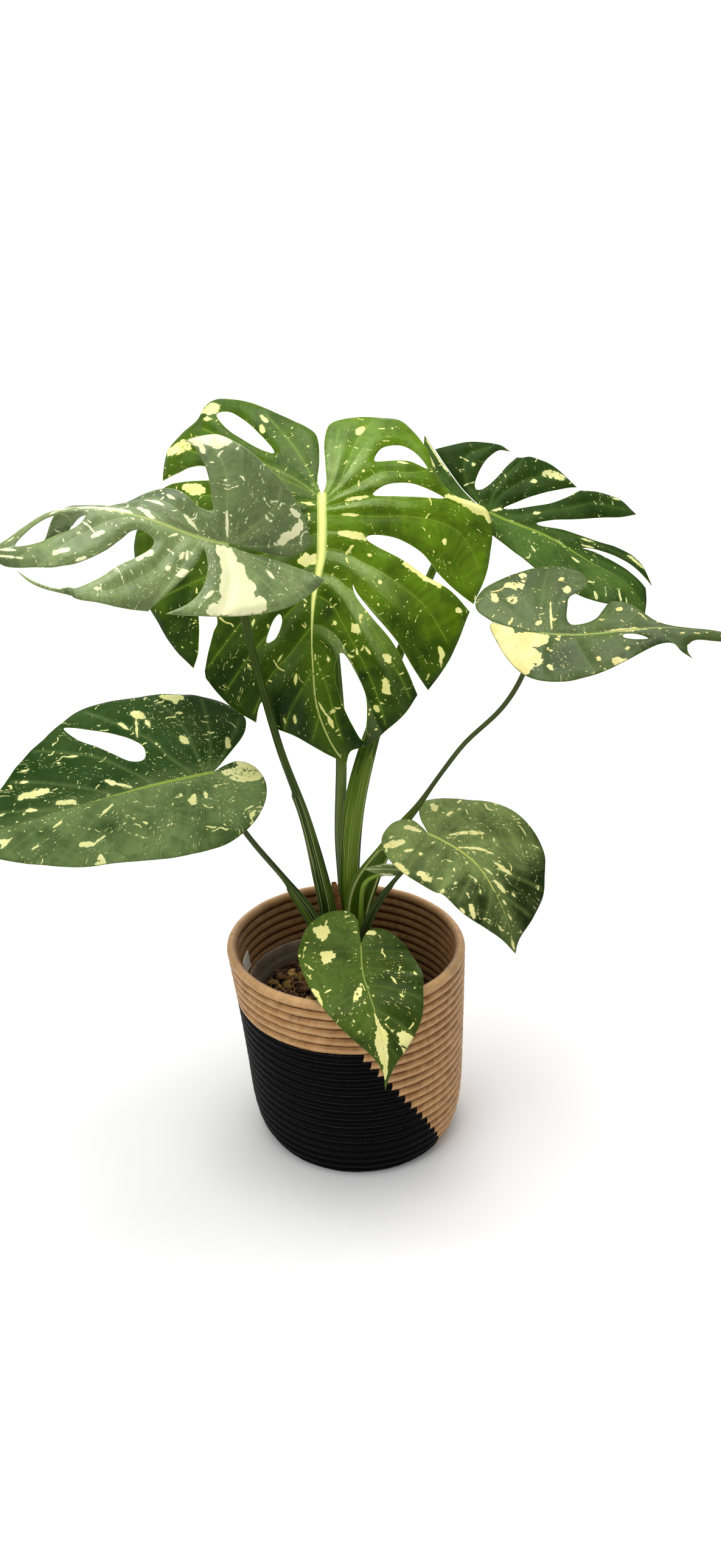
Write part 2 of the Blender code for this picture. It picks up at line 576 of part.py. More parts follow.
def stalk(letter, where, finish):
    route = list(STALKS[letter])
    end, face = leaf_seat(letter)
    half = route[-1][3]
    route.append((*(end - face * half * SEAT_REACH), half, half))
    route.append((*end, half, half))
    return loft("stalk_" + letter, route, where, finish, end_facing=face)


def turned(name, profile, steps, where, finish):
    """A profile in the XZ plane turned about Z, as a mesh whose points can then be moved."""
    mesh = bpy.data.meshes.new(name)
    points = [(radius, 0, height) for radius, height in profile]
    mesh.from_pydata(points, [(i, i + 1) for i in range(len(points) - 1)], [])
    obj = bpy.data.objects.new(name, mesh)
    where.objects.link(obj)
    screw = obj.modifiers.new("Screw", "SCREW")
    screw.steps = steps
    screw.render_steps = steps
    screw.use_merge_vertices = True
    screw.merge_threshold = 0.00001
    screw.use_smooth_shade = True
    graph = bpy.context.evaluated_depsgraph_get()
    whole = bpy.data.meshes.new_from_object(obj.evaluated_get(graph))
    bpy.data.objects.remove(obj, do_unlink=True)
    shape = bmesh.new()
    shape.from_mesh(whole)
    bmesh.ops.remove_doubles(shape, verts=shape.verts, dist=0.00001)
    bmesh.ops.recalc_face_normals(shape, faces=shape.faces)
    shape.to_mesh(whole)
    shape.free()
    whole.name = name
    whole.set_sharp_from_angle(angle=math.radians(50))
    return add_object(name, whole, where, finish)


def basket_radius(height):
    return float(natural_spline(*zip(*BASKET_OUTSIDE))(height)[0, 0])


def basket_profile():
    """Up the inside, over the rim coil and down the outside, a crest and a groove for each coil."""
    pitch = BASKET_HEIGHT / BASKET_COILS
    inner_start = BASKET_HEIGHT - INNER_COILS * pitch
    profile = [(0, BASKET_FLOOR), (basket_radius(BASKET_FLOOR) - BASKET_WALL - 0.006, BASKET_FLOOR)]
    for height in (0.02, 0.05, 0.10):
        profile.append((basket_radius(height) - BASKET_WALL, height))
    for coil in range(INNER_COILS):
        groove = inner_start + coil * pitch
        crest = groove + pitch / 2
        profile.append((basket_radius(groove) - BASKET_WALL + COIL_RELIEF, groove))
        profile.append((basket_radius(crest) - BASKET_WALL, crest))
    middle = basket_radius(BASKET_HEIGHT) - BASKET_WALL / 2
    profile.append((middle - BASKET_WALL * 0.35, BASKET_HEIGHT - pitch * 0.14))
    profile.append((middle, BASKET_HEIGHT))
    profile.append((middle + BASKET_WALL * 0.35, BASKET_HEIGHT - pitch * 0.14))
    for coil in reversed(range(BASKET_COILS)):
        crest = (coil + 0.5) * pitch
        profile.append((basket_radius(crest), crest))
        if coil:
            profile.append((basket_radius(crest - pitch / 2) - COIL_RELIEF, crest - pitch / 2))
    profile.append((BASKET_OUTSIDE[0][1] - 0.004, 0.0))
    profile.append((0, 0))
    return profile


def lean_at(height):
    """How far the basket's middle has moved to the left at a height."""
    return BASKET_LEAN * max(height / BASKET_HEIGHT, 0) ** LEAN_POWER


def lean(obj, centre=(0, 0)):
    """Moves a turned piece over its centre and leans it as the basket leans."""
    for vertex in obj.data.vertices:
        vertex.co.x += centre[0] - lean_at(vertex.co.z)
        vertex.co.y += centre[1]


def basket(where, finish):
    obj = turned("basket", basket_profile(), BASKET_STEPS, where, finish)
    lean(obj)
    return obj


def pot_radius(height):
    """Outer radius of the nursery pot's wall, below its lip."""
    low = BASKET_FLOOR + GAP
    share = (height - low) / (POT_TOP - low)
    return POT_BASE_RADIUS + (POT_RIM_RADIUS - POT_LIP_WIDTH - POT_BASE_RADIUS) * share


def nursery_pot(where, cutters, finish):
    low = BASKET_FLOOR + GAP
    lip = POT_TOP - POT_LIP_DROP
    profile = [
        (0, low + POT_WALL),
        (pot_radius(low) - POT_WALL, low + POT_WALL),
        (pot_radius(lip - 0.006) - POT_WALL, lip - 0.006),
        (pot_radius(lip) - POT_WALL + 0.0025, lip),
        (POT_RIM_RADIUS - POT_LIP_WIDTH + 0.001, POT_TOP),
        (POT_RIM_RADIUS, POT_TOP),
        (POT_RIM_RADIUS, lip),
        (pot_radius(lip) + 0.001, lip - 0.002),
        (pot_radius(lip - 0.008), lip - 0.008),
        (pot_radius(low), low),
        (0, low),
    ]
    obj = turned("nursery_pot", profile, POT_STEPS, where, finish)
    lean(obj, POT_CENTRE)
    shape = bmesh.new()
    for i in range(DRAIN_HOLES):
        turn = 2 * math.pi * i / DRAIN_HOLES
        made = bmesh.ops.create_cone(
            shape, cap_ends=True, segments=10, radius1=DRAIN_RADIUS, radius2=DRAIN_RADIUS, depth=4 * POT_WALL
        )
        place = (
            POT_CENTRE[0] + DRAIN_RING * math.cos(turn),
            POT_CENTRE[1] + DRAIN_RING * math.sin(turn),
            low + POT_WALL / 2,
        )
        bmesh.ops.translate(shape, verts=made["verts"], vec=place)
    mesh = bpy.data.meshes.new("drain_cutters")
    shape.to_mesh(mesh)
    shape.free()
    cut(obj, mesh, cutters)
    return obj


def cut(obj, mesh, cutters):
    """Takes the mesh away from the object, and keeps it as a hidden wire cutter."""
    cutter = bpy.data.objects.new(mesh.name, mesh)
    cutter.hide_render = True
    cutter.display_type = "WIRE"
    cutters.objects.link(cutter)
    taken = obj.modifiers.new("Cut", "BOOLEAN")
    taken.operation = "DIFFERENCE"
    taken.solver = "EXACT"
    taken.object = cutter


def soil(where, cutters, finish):
    """Potting mix up to a lumpy top, with a plain hole that the stem stands in."""
    low = BASKET_FLOOR + 2 * GAP + POT_WALL
    edge = pot_radius(SOIL_TOP) - POT_WALL - 0.0012
    profile = [(0, SOIL_TOP)]
    profile += [(edge * ring / SOIL_RINGS, SOIL_TOP) for ring in range(1, SOIL_RINGS + 1)]
    profile += [(pot_radius(low) - POT_WALL - 0.0012, low), (0, low)]
    obj = turned("soil", profile, POT_STEPS // 2, where, finish)
    stem_x = STEM_CENTRE[0] - POT_CENTRE[0] + lean_at(SOIL_TOP)
    stem_y = STEM_CENTRE[1] - POT_CENTRE[1]
    for vertex in obj.data.vertices:
        x, y, z = vertex.co
        if z > SOIL_TOP - GAP:
            away = np.clip((math.hypot(x - stem_x, y - stem_y) - 0.034) / 0.02, 0, 1)
            edge_in = np.clip((edge - math.hypot(x, y)) / 0.012, 0, 1)
            wave = math.sin(x * 170 + 1.3) * math.cos(y * 150 - 0.4) + 0.6 * math.sin(x * 310 - y * 270 + 2)
            vertex.co.z = SOIL_TOP + SOIL_BUMP * away * edge_in * wave
    lean(obj, POT_CENTRE)
    hole = bmesh.new()
    depth = SOIL_TOP - STEM_BOTTOM + 0.02 + GAP
    radius = STEM_RADIUS + STEM_HOLE_CLEARANCE
    bmesh.ops.create_cone(hole, cap_ends=True, segments=24, radius1=radius, radius2=radius, depth=depth)
    bmesh.ops.translate(hole, verts=hole.verts, vec=(*STEM_CENTRE, STEM_BOTTOM - GAP + depth / 2))
    mesh = bpy.data.meshes.new("stem_hole_cutter")
    hole.to_mesh(mesh)
    hole.free()
    cut(obj, mesh, cutters)
    return obj


def stem(where, finish):
    profile = [
        (0, STEM_TOP),
        (STEM_RADIUS * 0.86, STEM_TOP),
        (STEM_RADIUS, STEM_TOP - 0.003),
        (STEM_RADIUS, STEM_BOTTOM + 0.004),
        (STEM_RADIUS * 0.8, STEM_BOTTOM),
        (0, STEM_BOTTOM),
    ]
    obj = turned("stem", profile, 24, where, finish)
    for vertex in obj.data.vertices:
        vertex.co.x += STEM_CENTRE[0]
        vertex.co.y += STEM_CENTRE[1]
    return obj


def tag(where, finish):
    """A blank fabric tag that hangs flat against the inside of the basket."""
    width, thickness, height = TAG_SIZE
    shape = bmesh.new()
    made = bmesh.ops.create_cube(shape, size=1.0)
    bmesh.ops.scale(shape, verts=made["verts"], vec=(width, thickness, height))
    bmesh.ops.subdivide_edges(shape, edges=shape.edges, cuts=2, use_grid_fill=True)
    wall = basket_radius(TAG_MIDDLE) - BASKET_WALL - GAP - thickness
    for vertex in shape.verts:
        x, y, z = vertex.co
        radius = wall - y + basket_radius(TAG_MIDDLE + z) - basket_radius(TAG_MIDDLE)
        turn = TAG_ANGLE - x / wall
        middle = -lean_at(TAG_MIDDLE + z)
        vertex.co = (middle + radius * math.cos(turn), radius * math.sin(turn), TAG_MIDDLE + z)
    shape.normal_update()
    bmesh.ops.recalc_face_normals(shape, faces=shape.faces)
    mesh = bpy.data.meshes.new("tag")
    shape.to_mesh(mesh)
    shape.free()
    return add_object("tag", mesh, where, finish)


def main():
    clear_scene()
    parts = collection(NAME)
    cutters = collection(NAME + "_cutters")
    leaf_green = material("leaf", 0.45)
    stalk_green = material("stalk", 0.5)
    basket(parts, material("basket", 0.65))
    tag(parts, material("tag", 0.9))
    nursery_pot(parts, cutters, material("pot", 0.5))
    soil(parts, cutters, material("soil", 0.95))
    stem(parts, material("stem", 0.6))
    loft("dry_sheath", DRY_SHEATH, parts, material("dry", 0.8), sides=6, rings=7)
    for letter, leaf in LEAVES.items():
        blade("leaf_" + letter, leaf, parts, leaf_green)
        stalk(letter, parts, stalk_green)


main()
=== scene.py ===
"""Dressed scene of the potted variegated monstera.

Metres, +Z up, in the frame's own place. Leaf stations, outlines, veins, patches and stalks are in
millimetres, and are scaled once, where they are used.
"""

import json
import math

import bmesh
import bpy
import numpy as np
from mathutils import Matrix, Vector, geometry, kdtree, noise

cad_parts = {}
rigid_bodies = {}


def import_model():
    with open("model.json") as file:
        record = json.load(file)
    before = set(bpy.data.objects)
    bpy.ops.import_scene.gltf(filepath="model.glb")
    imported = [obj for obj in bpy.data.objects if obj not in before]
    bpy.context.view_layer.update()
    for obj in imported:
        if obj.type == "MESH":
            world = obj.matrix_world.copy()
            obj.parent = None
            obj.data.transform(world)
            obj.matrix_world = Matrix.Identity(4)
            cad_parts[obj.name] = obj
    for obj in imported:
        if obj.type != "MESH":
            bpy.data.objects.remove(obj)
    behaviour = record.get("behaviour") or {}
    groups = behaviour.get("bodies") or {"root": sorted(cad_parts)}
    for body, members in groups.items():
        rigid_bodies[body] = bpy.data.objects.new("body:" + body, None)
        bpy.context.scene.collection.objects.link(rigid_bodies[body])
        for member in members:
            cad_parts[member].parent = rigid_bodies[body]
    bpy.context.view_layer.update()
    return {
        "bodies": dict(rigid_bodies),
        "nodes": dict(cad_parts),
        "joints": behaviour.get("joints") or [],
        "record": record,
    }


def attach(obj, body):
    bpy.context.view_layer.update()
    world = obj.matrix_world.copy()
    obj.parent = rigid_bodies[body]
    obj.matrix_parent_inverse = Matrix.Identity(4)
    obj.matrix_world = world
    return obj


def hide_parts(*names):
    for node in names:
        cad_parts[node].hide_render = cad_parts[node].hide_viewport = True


MM = 0.001

BASKET_HEIGHT = 0.280
BASKET_COILS = 22
BASKET_WALL = 0.013
BASKET_FLOOR = 0.0125
BASKET_LEAN = 0.016
LEAN_POWER = 1.5
# Outer radius of the coils' crests by height.
BASKET_OUTSIDE = (
    (0.0, 0.126), (0.012, 0.134), (0.035, 0.1418), (0.09, 0.147), (0.18, 0.1515), (0.28, 0.1578),
)
WRAP_WIDTH = 0.0056
BASE_WRAP_WIDTH = 0.008
BASE_RINGS = 9
BASE_PITCH = 0.0128
WRAP_PARTS = 2
COIL_SIDES = 16
# A coil's section is round at 1 and squarer below it.
COIL_ROUNDNESS = 0.95
TAN_COILS = 6
# The black part ends at this angle to the right of the front on its top coil, and further right on
# each lower coil.
BLACK_START = math.radians(6)
BLACK_STEP = math.radians(3.3)
# The cosine round a coil's section down to which it is black, where 1 is its outer side.
BLACK_INWARD = -0.35

POT_CENTRE = (-0.024, 0.004)
POT_TOP = 0.215
POT_RIM_RADIUS = 0.114
POT_BASE_RADIUS = 0.088
POT_WALL = 0.0018
POT_LIP_WIDTH = 0.0045
POT_LIP_DROP = 0.014
POT_LIP_EDGE = 0.0007
POT_LOW = BASKET_FLOOR + 0.0003
POT_SIDES = 144

SOIL_TOP = 0.188
SOIL_BUMP = 0.0045
SOIL_GAP = 0.0012
LUMP_GAP = 0.004
ROOT_GAP = 0.006
SOIL_LIFT = 0.0003
SOIL_SIDES = 150
SOIL_RINGS = 46

STEM_CENTRE = (-0.015, 0.0)
STEM_RADIUS = 0.0155
STEM_BOTTOM = 0.135
STEM_TOP = 0.218
STEM_CLEARING = 0.012
STEM_SIDES = 72
STEM_ROWS = 44

TAG_SIZE = (0.034, 0.0012, 0.025)
TAG_ANGLE = math.radians(174.5)
TAG_MIDDLE = 0.230
TAG_GAP = 0.0003
TAG_GRID = (34, 26)

BLADE_THICKNESS = 0.0009
EDGE_STEP = 2.4
INNER_STEP = 2.7
PATCH_STEP = 1.8
GUIDE_GAP = 1.1
GRID_GAP = 0.55 * INNER_STEP
VEIN_STEP = 4
# How far beside the midrib and beside each side vein there are rows of points.
MIDRIB_ROWS = (0, 1.4, -1.4, 3.2, -3.2)
VEIN_ROWS = (0, 1.3, -1.3)
STALK_SIDES = 28
STALK_RING_STEP = 3.5
SEAT_DEPTH = 0.0010
SEAT_EXTRA = {"a": 0.0006, "b": 0.0003, "d": 0.0003, "h": 0.0006}
SEAT_REACH = 2.5

# The camera's place, how far it looks down in degrees, its focal length in pixels of the photo, and
# the photo's height.
CAMERA_PLACE = (0.0035, -1.300, 1.0553)
CAMERA_DOWN = 23.06
CAMERA_FOCUS = 1860
PHOTO_HEIGHT = 2576
SENSOR_WIDTH = 36

# Each lamp's place, what it aims at, its size and its power.
LAMPS = {
    "top": ((-0.15, -0.1, 2.5), (0.0, 0.0, 0.5), 1.7, 46),
    "key": ((-1.2, -1.5, 2.2), (0.0, 0.0, 0.55), 1.2, 16),
    "backdrop": ((0.0, 1.6, 2.4), (0.0, 3.4, 0.6), 2.4, 60),
}
WORLD_STRENGTH = 0.50
# The floor's section from front to back as (y, z), which turns up behind, and half its width.
FLOOR_SECTION = (
    (-5.0, 0.0), (1.6, 0.0), (2.2, 0.06), (2.7, 0.24), (3.1, 0.56), (3.35, 1.0), (3.45, 1.6), (3.45, 5.0),
)
FLOOR_HALF = 6.0

# Colours as they look on screen, from 0 to 255. Each leaf's deep and light green, midrib, veins and
# cream, then how freely it is flecked, how matt it is, half the midrib's width at its base, its
# shine, how much painted shade deepens its +x half (or its -x half, below zero), how far along painted
# shade darkens it towards the tip, and how strong the painted highlight beside its veins is.
LEAF_LOOKS = {
    "a": ((14, 40, 0), (92, 124, 14), (240, 244, 146), (138, 160, 60), (222, 220, 130),
          1.2, 0.32, 5.6, 0.12, 0.50, 280, 0.80),
    "b": ((32, 54, 16), (124, 143, 86), (168, 182, 98), (140, 156, 96), (226, 226, 178),
          2.2, 0.38, 1.8, 0.34, 0.30, 900, 0.14),
    "c": ((16, 48, 2), (104, 124, 74), (138, 158, 62), (96, 114, 52), (208, 208, 138),
          2.3, 0.42, 2.0, 0.02, 0.80, 700, 0.10),
    "d": ((12, 34, 2), (74, 102, 40), (128, 150, 56), (70, 92, 30), (200, 202, 132),
          1.4, 0.38, 1.8, 0.04, -0.68, 400, 0.10),
    "e": ((32, 50, 12), (76, 94, 42), (144, 160, 72), (92, 112, 46), (206, 194, 124),
          1.5, 0.40, 1.5, 0.22, 0.0, 300, 0.08),
    "f": ((18, 36, 4), (124, 142, 80), (180, 188, 88), (110, 128, 56), (222, 216, 142),
          2.0, 0.40, 1.4, 0.06, 0.0, 130, 0.06),
    "g": ((12, 30, 0), (84, 106, 38), (150, 166, 80), (92, 114, 44), (230, 224, 140),
          1.4, 0.36, 0.9, 0.06, -0.45, 300, 0.14),
    "h": ((58, 80, 32), (116, 136, 76), (200, 206, 150), (130, 148, 86), (232, 230, 186),
          0.6, 0.42, 0.8, 0.3, 0.0, 300, 0.0),
}
PALE_CREAM = (236, 230, 176)
# The colour of the painted sheen beside the leaves' veins.
FOLD_SHEEN = (160, 184, 112)
UNDERSIDE = (138, 158, 104)

# Each stalk's deep and light green, pale lines, the sheath's channel, its margins to the left and
# the right, and its dry outer edge.
STALK_LOOKS = {
    "a": ((72, 94, 34), (118, 140, 70), (170, 180, 120), (60, 82, 24),
          (120, 140, 70), (120, 140, 70), (70, 60, 36)),
    "b": ((34, 52, 6), (70, 94, 22), (190, 198, 130), (34, 52, 4),
          (190, 200, 140), (196, 200, 150), (120, 66, 30)),
    "c": ((28, 42, 8), (62, 88, 20), (200, 204, 160), (30, 46, 6),
          (214, 216, 180), (200, 204, 160), (84, 112, 30)),
    "d": ((44, 68, 4), (104, 132, 36), (186, 198, 108), (104, 128, 44),
          (190, 198, 140), (140, 154, 66), (44, 68, 4)),
    "e": ((38, 58, 4), (92, 122, 28), (206, 212, 130), (52, 80, 10),
          (206, 212, 136), (190, 198, 120), (60, 88, 16)),
    "f": ((28, 42, 12), (60, 78, 30), (150, 160, 100), (36, 54, 14),
          (126, 140, 80), (110, 124, 66), (40, 56, 20)),
    "g": ((36, 56, 12), (74, 96, 34), (160, 170, 100), (50, 70, 20),
          (130, 146, 80), (130, 146, 80), (50, 70, 20)),
    "h": ((84, 116, 30), (132, 158, 58), (206, 214, 130), (110, 138, 44),
          (186, 198, 110), (170, 184, 90), (96, 124, 36)),
}
# The height in millimetres above which a stalk is thin and dull, and its colour there.
THIN_FROM = {"c": 355.0, "e": 440.0}
THIN_STALK = (66, 68, 40)

# Deep, middle and light raffia, its inner side and the tone of its painted glints and scratches, how rough
# it is, its shine, and how strong its scratches and painted glints are.
RAFFIA = {
    "tan_raffia": ((84, 48, 22), (180, 130, 76), (224, 184, 130), (94, 56, 22), (240, 212, 168),
                   0.46, 0.28, 0.45),
    "black_raffia": ((0, 0, 0), (0, 0, 0), (3, 3, 3), (3, 2, 2), (116, 116, 122),
                     0.46, 0.05, 1.0),
}

# Deep, middle and light tone of each plain earthy finish, how fine its grain is and how rough it is.
EARTHY = {
    "dry_sheath": ((124, 76, 38), (182, 126, 72), (220, 176, 120), 120.0, 0.8),
    "stem": ((78, 74, 36), (110, 104, 56), (140, 112, 72), 90.0, 0.7),
    "mix": ((24, 13, 6), (50, 31, 16), (88, 62, 38), 140.0, 0.95),
    "perlite": ((214, 210, 200), (236, 234, 226), (190, 182, 168), 400.0, 0.9),
    "moss": ((92, 70, 26), (142, 112, 52), (176, 144, 78), 500.0, 0.95),
    "root": ((140, 100, 60), (186, 146, 98), (214, 180, 130), 300.0, 0.85),
}

# What lies on the mix: how many, the seed, the least and greatest size, how flat and how jagged each
# lump is, and how high it sits.
LUMPS = {
    "bark_chips": (300, 11, (0.0035, 0.0100), 0.45, 0.55, 0.30),
    "small_crumbs": (420, 12, (0.0010, 0.0028), 0.8, 0.5, 0.4),
    "perlite": (60, 13, (0.0010, 0.0022), 0.8, 0.35, 0.5),
    "moss": (46, 14, (0.004, 0.010), 0.5, 0.6, 0.2),
}
# The moss lies only to the left of this, from the pot's middle.
MOSS_RIGHT = -0.02

ROOTS = 90
ROOT_SEED = 15
ROOT_LENGTHS = (0.012, 0.045)
ROOT_RADIUS = 0.0005
ROOT_SIDES = 5
ROOT_STEPS = 12

# Where each stalk is a sheath: its lower and upper height, the turn its channel faces, how deep
# the channel is, its half width in radians, how far its margins stand out, how softly it ends, and
# the turn and the size of the shoulder it ends in. A turn of -90 degrees faces the view.
SHEATHS = {
    "a": (195, 560, -30, 0.16, 0.50, 0.06, 40, 0, 0.0),
    "b": (195, 508, -79, 0.20, 0.42, 0.06, 6, 0, 0.42),
    "c": (195, 372, -106, 0.16, 0.20, 0.07, 4, 20, 0.50),
    "d": (195, 560, -119, 0.14, 0.42, 0.05, 40, 180, 0.0),
    "e": (225, 440, -95, 0.80, 0.90, 0.10, 30, 0, 0.0),
    "f": (195, 380, -100, 0.30, 0.60, 0.08, 6, 170, 0.35),
    "g": (195, 250, -80, 0.25, 0.70, 0.08, 20, 0, 0.0),
    "h": (195, 300, -90, 0.10, 0.60, 0.04, 20, 0, 0.0),
}

# Each leaf's stations along its midrib: the distance from the leaf's base, the point there and the
# way the leaf faces, and for the +x and -x halves how far the half droops in degrees and how much it
# curls in degrees a 100 mm. A station without the last two has those of PLAIN_HALVES.
STATIONS = {
    "a": (
        (-114, (-43, 115, 926), (0, -0.93, 0.36), (0, 0), (12, 12)),
        (0, (-41, 30, 851), (0, -0.93, 0.36), (4, 4), (12, 12)),
        (62, (-41, 0, 797), (0, -0.94, 0.33), (4, 4), (12, 12)),
        (127, (-41, -30, 740), (0, -0.95, 0.3), (3, 3), (12, 12)),
        (183, (-40, -50, 687), (0, -0.97, 0.24), (2, 2), (12, 12)),
        (244, (-40, -62, 628), (0, -0.98, 0.18), (2, 2), (12, 12)),
        (318, (-39, -62, 553), (0, -0.99, 0.14), (2, 2), (10, 10)),
    ),
    "b": (
        (-85, (-55, -124, 801), (-0.05, -0.66, 0.75), (-40, 4), (0, 8)),
        (0, (-131, -150, 829), (-0.05, -0.66, 0.75), (-38, 4), (0, 8)),
        (40, (-167, -162, 842), (-0.05, -0.66, 0.75), (-30, 4), (6, 8)),
        (67, (-190, -170, 853), (-0.08, -0.65, 0.75), (-12, 5), (12, 8)),
        (85, (-206, -176, 860), (-0.09, -0.65, 0.755), (5, 5), (64, 8)),
        (123, (-240, -188, 870), (-0.12, -0.64, 0.76), (34, 6), (75, 8)),
        (154, (-269, -198, 873), (-0.18, -0.64, 0.74), (36, 6), (80, 8)),
        (181, (-295, -203, 869), (-0.25, -0.64, 0.72), (30, 6), (95, 8)),
        (218, (-327, -207, 851), (-0.35, -0.66, 0.66), (34, 6), (90, 8)),
        (270, (-371, -210, 823), (-0.4, -0.66, 0.63), (34, 6), (40, 8)),
    ),
    "c": (
        (-63, (-116, -30, 543), (-0.1, -0.56, 0.82)),
        (0, (-171, -60, 543), (-0.1, -0.56, 0.82)),
        (90, (-251, -100, 539), (-0.1, -0.56, 0.82)),
        (172, (-323, -140, 531), (-0.15, -0.56, 0.81)),
        (298, (-433, -200, 518), (-0.26, -0.57, 0.78)),
    ),
    "d": (
        (-115, (90, 150, 895), (0.15, -0.81, 0.56), (15, -6), (0, 8)),
        (0, (161, 100, 820), (0.15, -0.81, 0.56), (5, -6), (0, 8)),
        (74, (228, 80, 795), (0.2, -0.81, 0.55)),
        (143, (285, 55, 765), (0.3, -0.81, 0.51)),
        (189, (321, 35, 746), (0.41, -0.79, 0.46)),
        (228, (343, 20, 718), (0.41, -0.79, 0.46)),
    ),
    "e": (
        (-59, (148, -70, 729), (0.05, -0.6, 0.8)),
        (0, (199, -100, 724), (0.05, -0.6, 0.8)),
        (71, (259, -135, 733), (0.05, -0.6, 0.8)),
        (104, (288, -150, 741), (0.05, -0.65, 0.75)),
        (140, (320, -165, 747), (0.05, -0.71, 0.71), (4, 4), (20, 20)),
        (193, (370, -180, 745), (0.05, -0.71, 0.71), (10, 30), (60, 90)),
        (240, (416, -187, 737), (0.05, -0.71, 0.71), (10, 40), (60, 90)),
    ),
    "f": (
        (-39, (55, -20, 461), (0.1, -0.61, 0.79)),
        (0, (87, -40, 453), (0.1, -0.61, 0.79)),
        (38, (118, -60, 444), (0.12, -0.66, 0.74)),
        (76, (146, -80, 428), (0.16, -0.72, 0.67)),
        (106, (161, -100, 411), (0.2, -0.76, 0.61)),
        (141, (176, -115, 383), (0.3, -0.81, 0.51)),
        (195, (190, -125, 333), (0.3, -0.84, 0.45)),
    ),
    "g": (
        (-35, (2, -45, 335), (0, -0.4, 0.92)),
        (0, (4, -75, 317), (0, -0.4, 0.92)),
        (42, (6, -115, 303), (0, -0.4, 0.92)),
        (96, (17, -165, 291), (0, -0.5, 0.86)),
        (137, (28, -191, 260), (0.05, -0.8, 0.6)),
        (184, (33, -203, 214), (0.1, -0.95, 0.3)),
        (202, (33, -206, 196), (0.1, -0.95, 0.3)),
    ),
    "h": (
        (0, (52, -21, 393), (0, -0.6, 0.8), (0, 0), (160, 160)),
        (25, (30, -32, 399), (0, -0.6, 0.8), (0, 0), (300, 300)),
        (54, (7, -45, 406), (0, -0.6, 0.8), (0, 0), (300, 300)),
    ),
}

PLAIN_HALVES = ((0, 0), (8, 8))

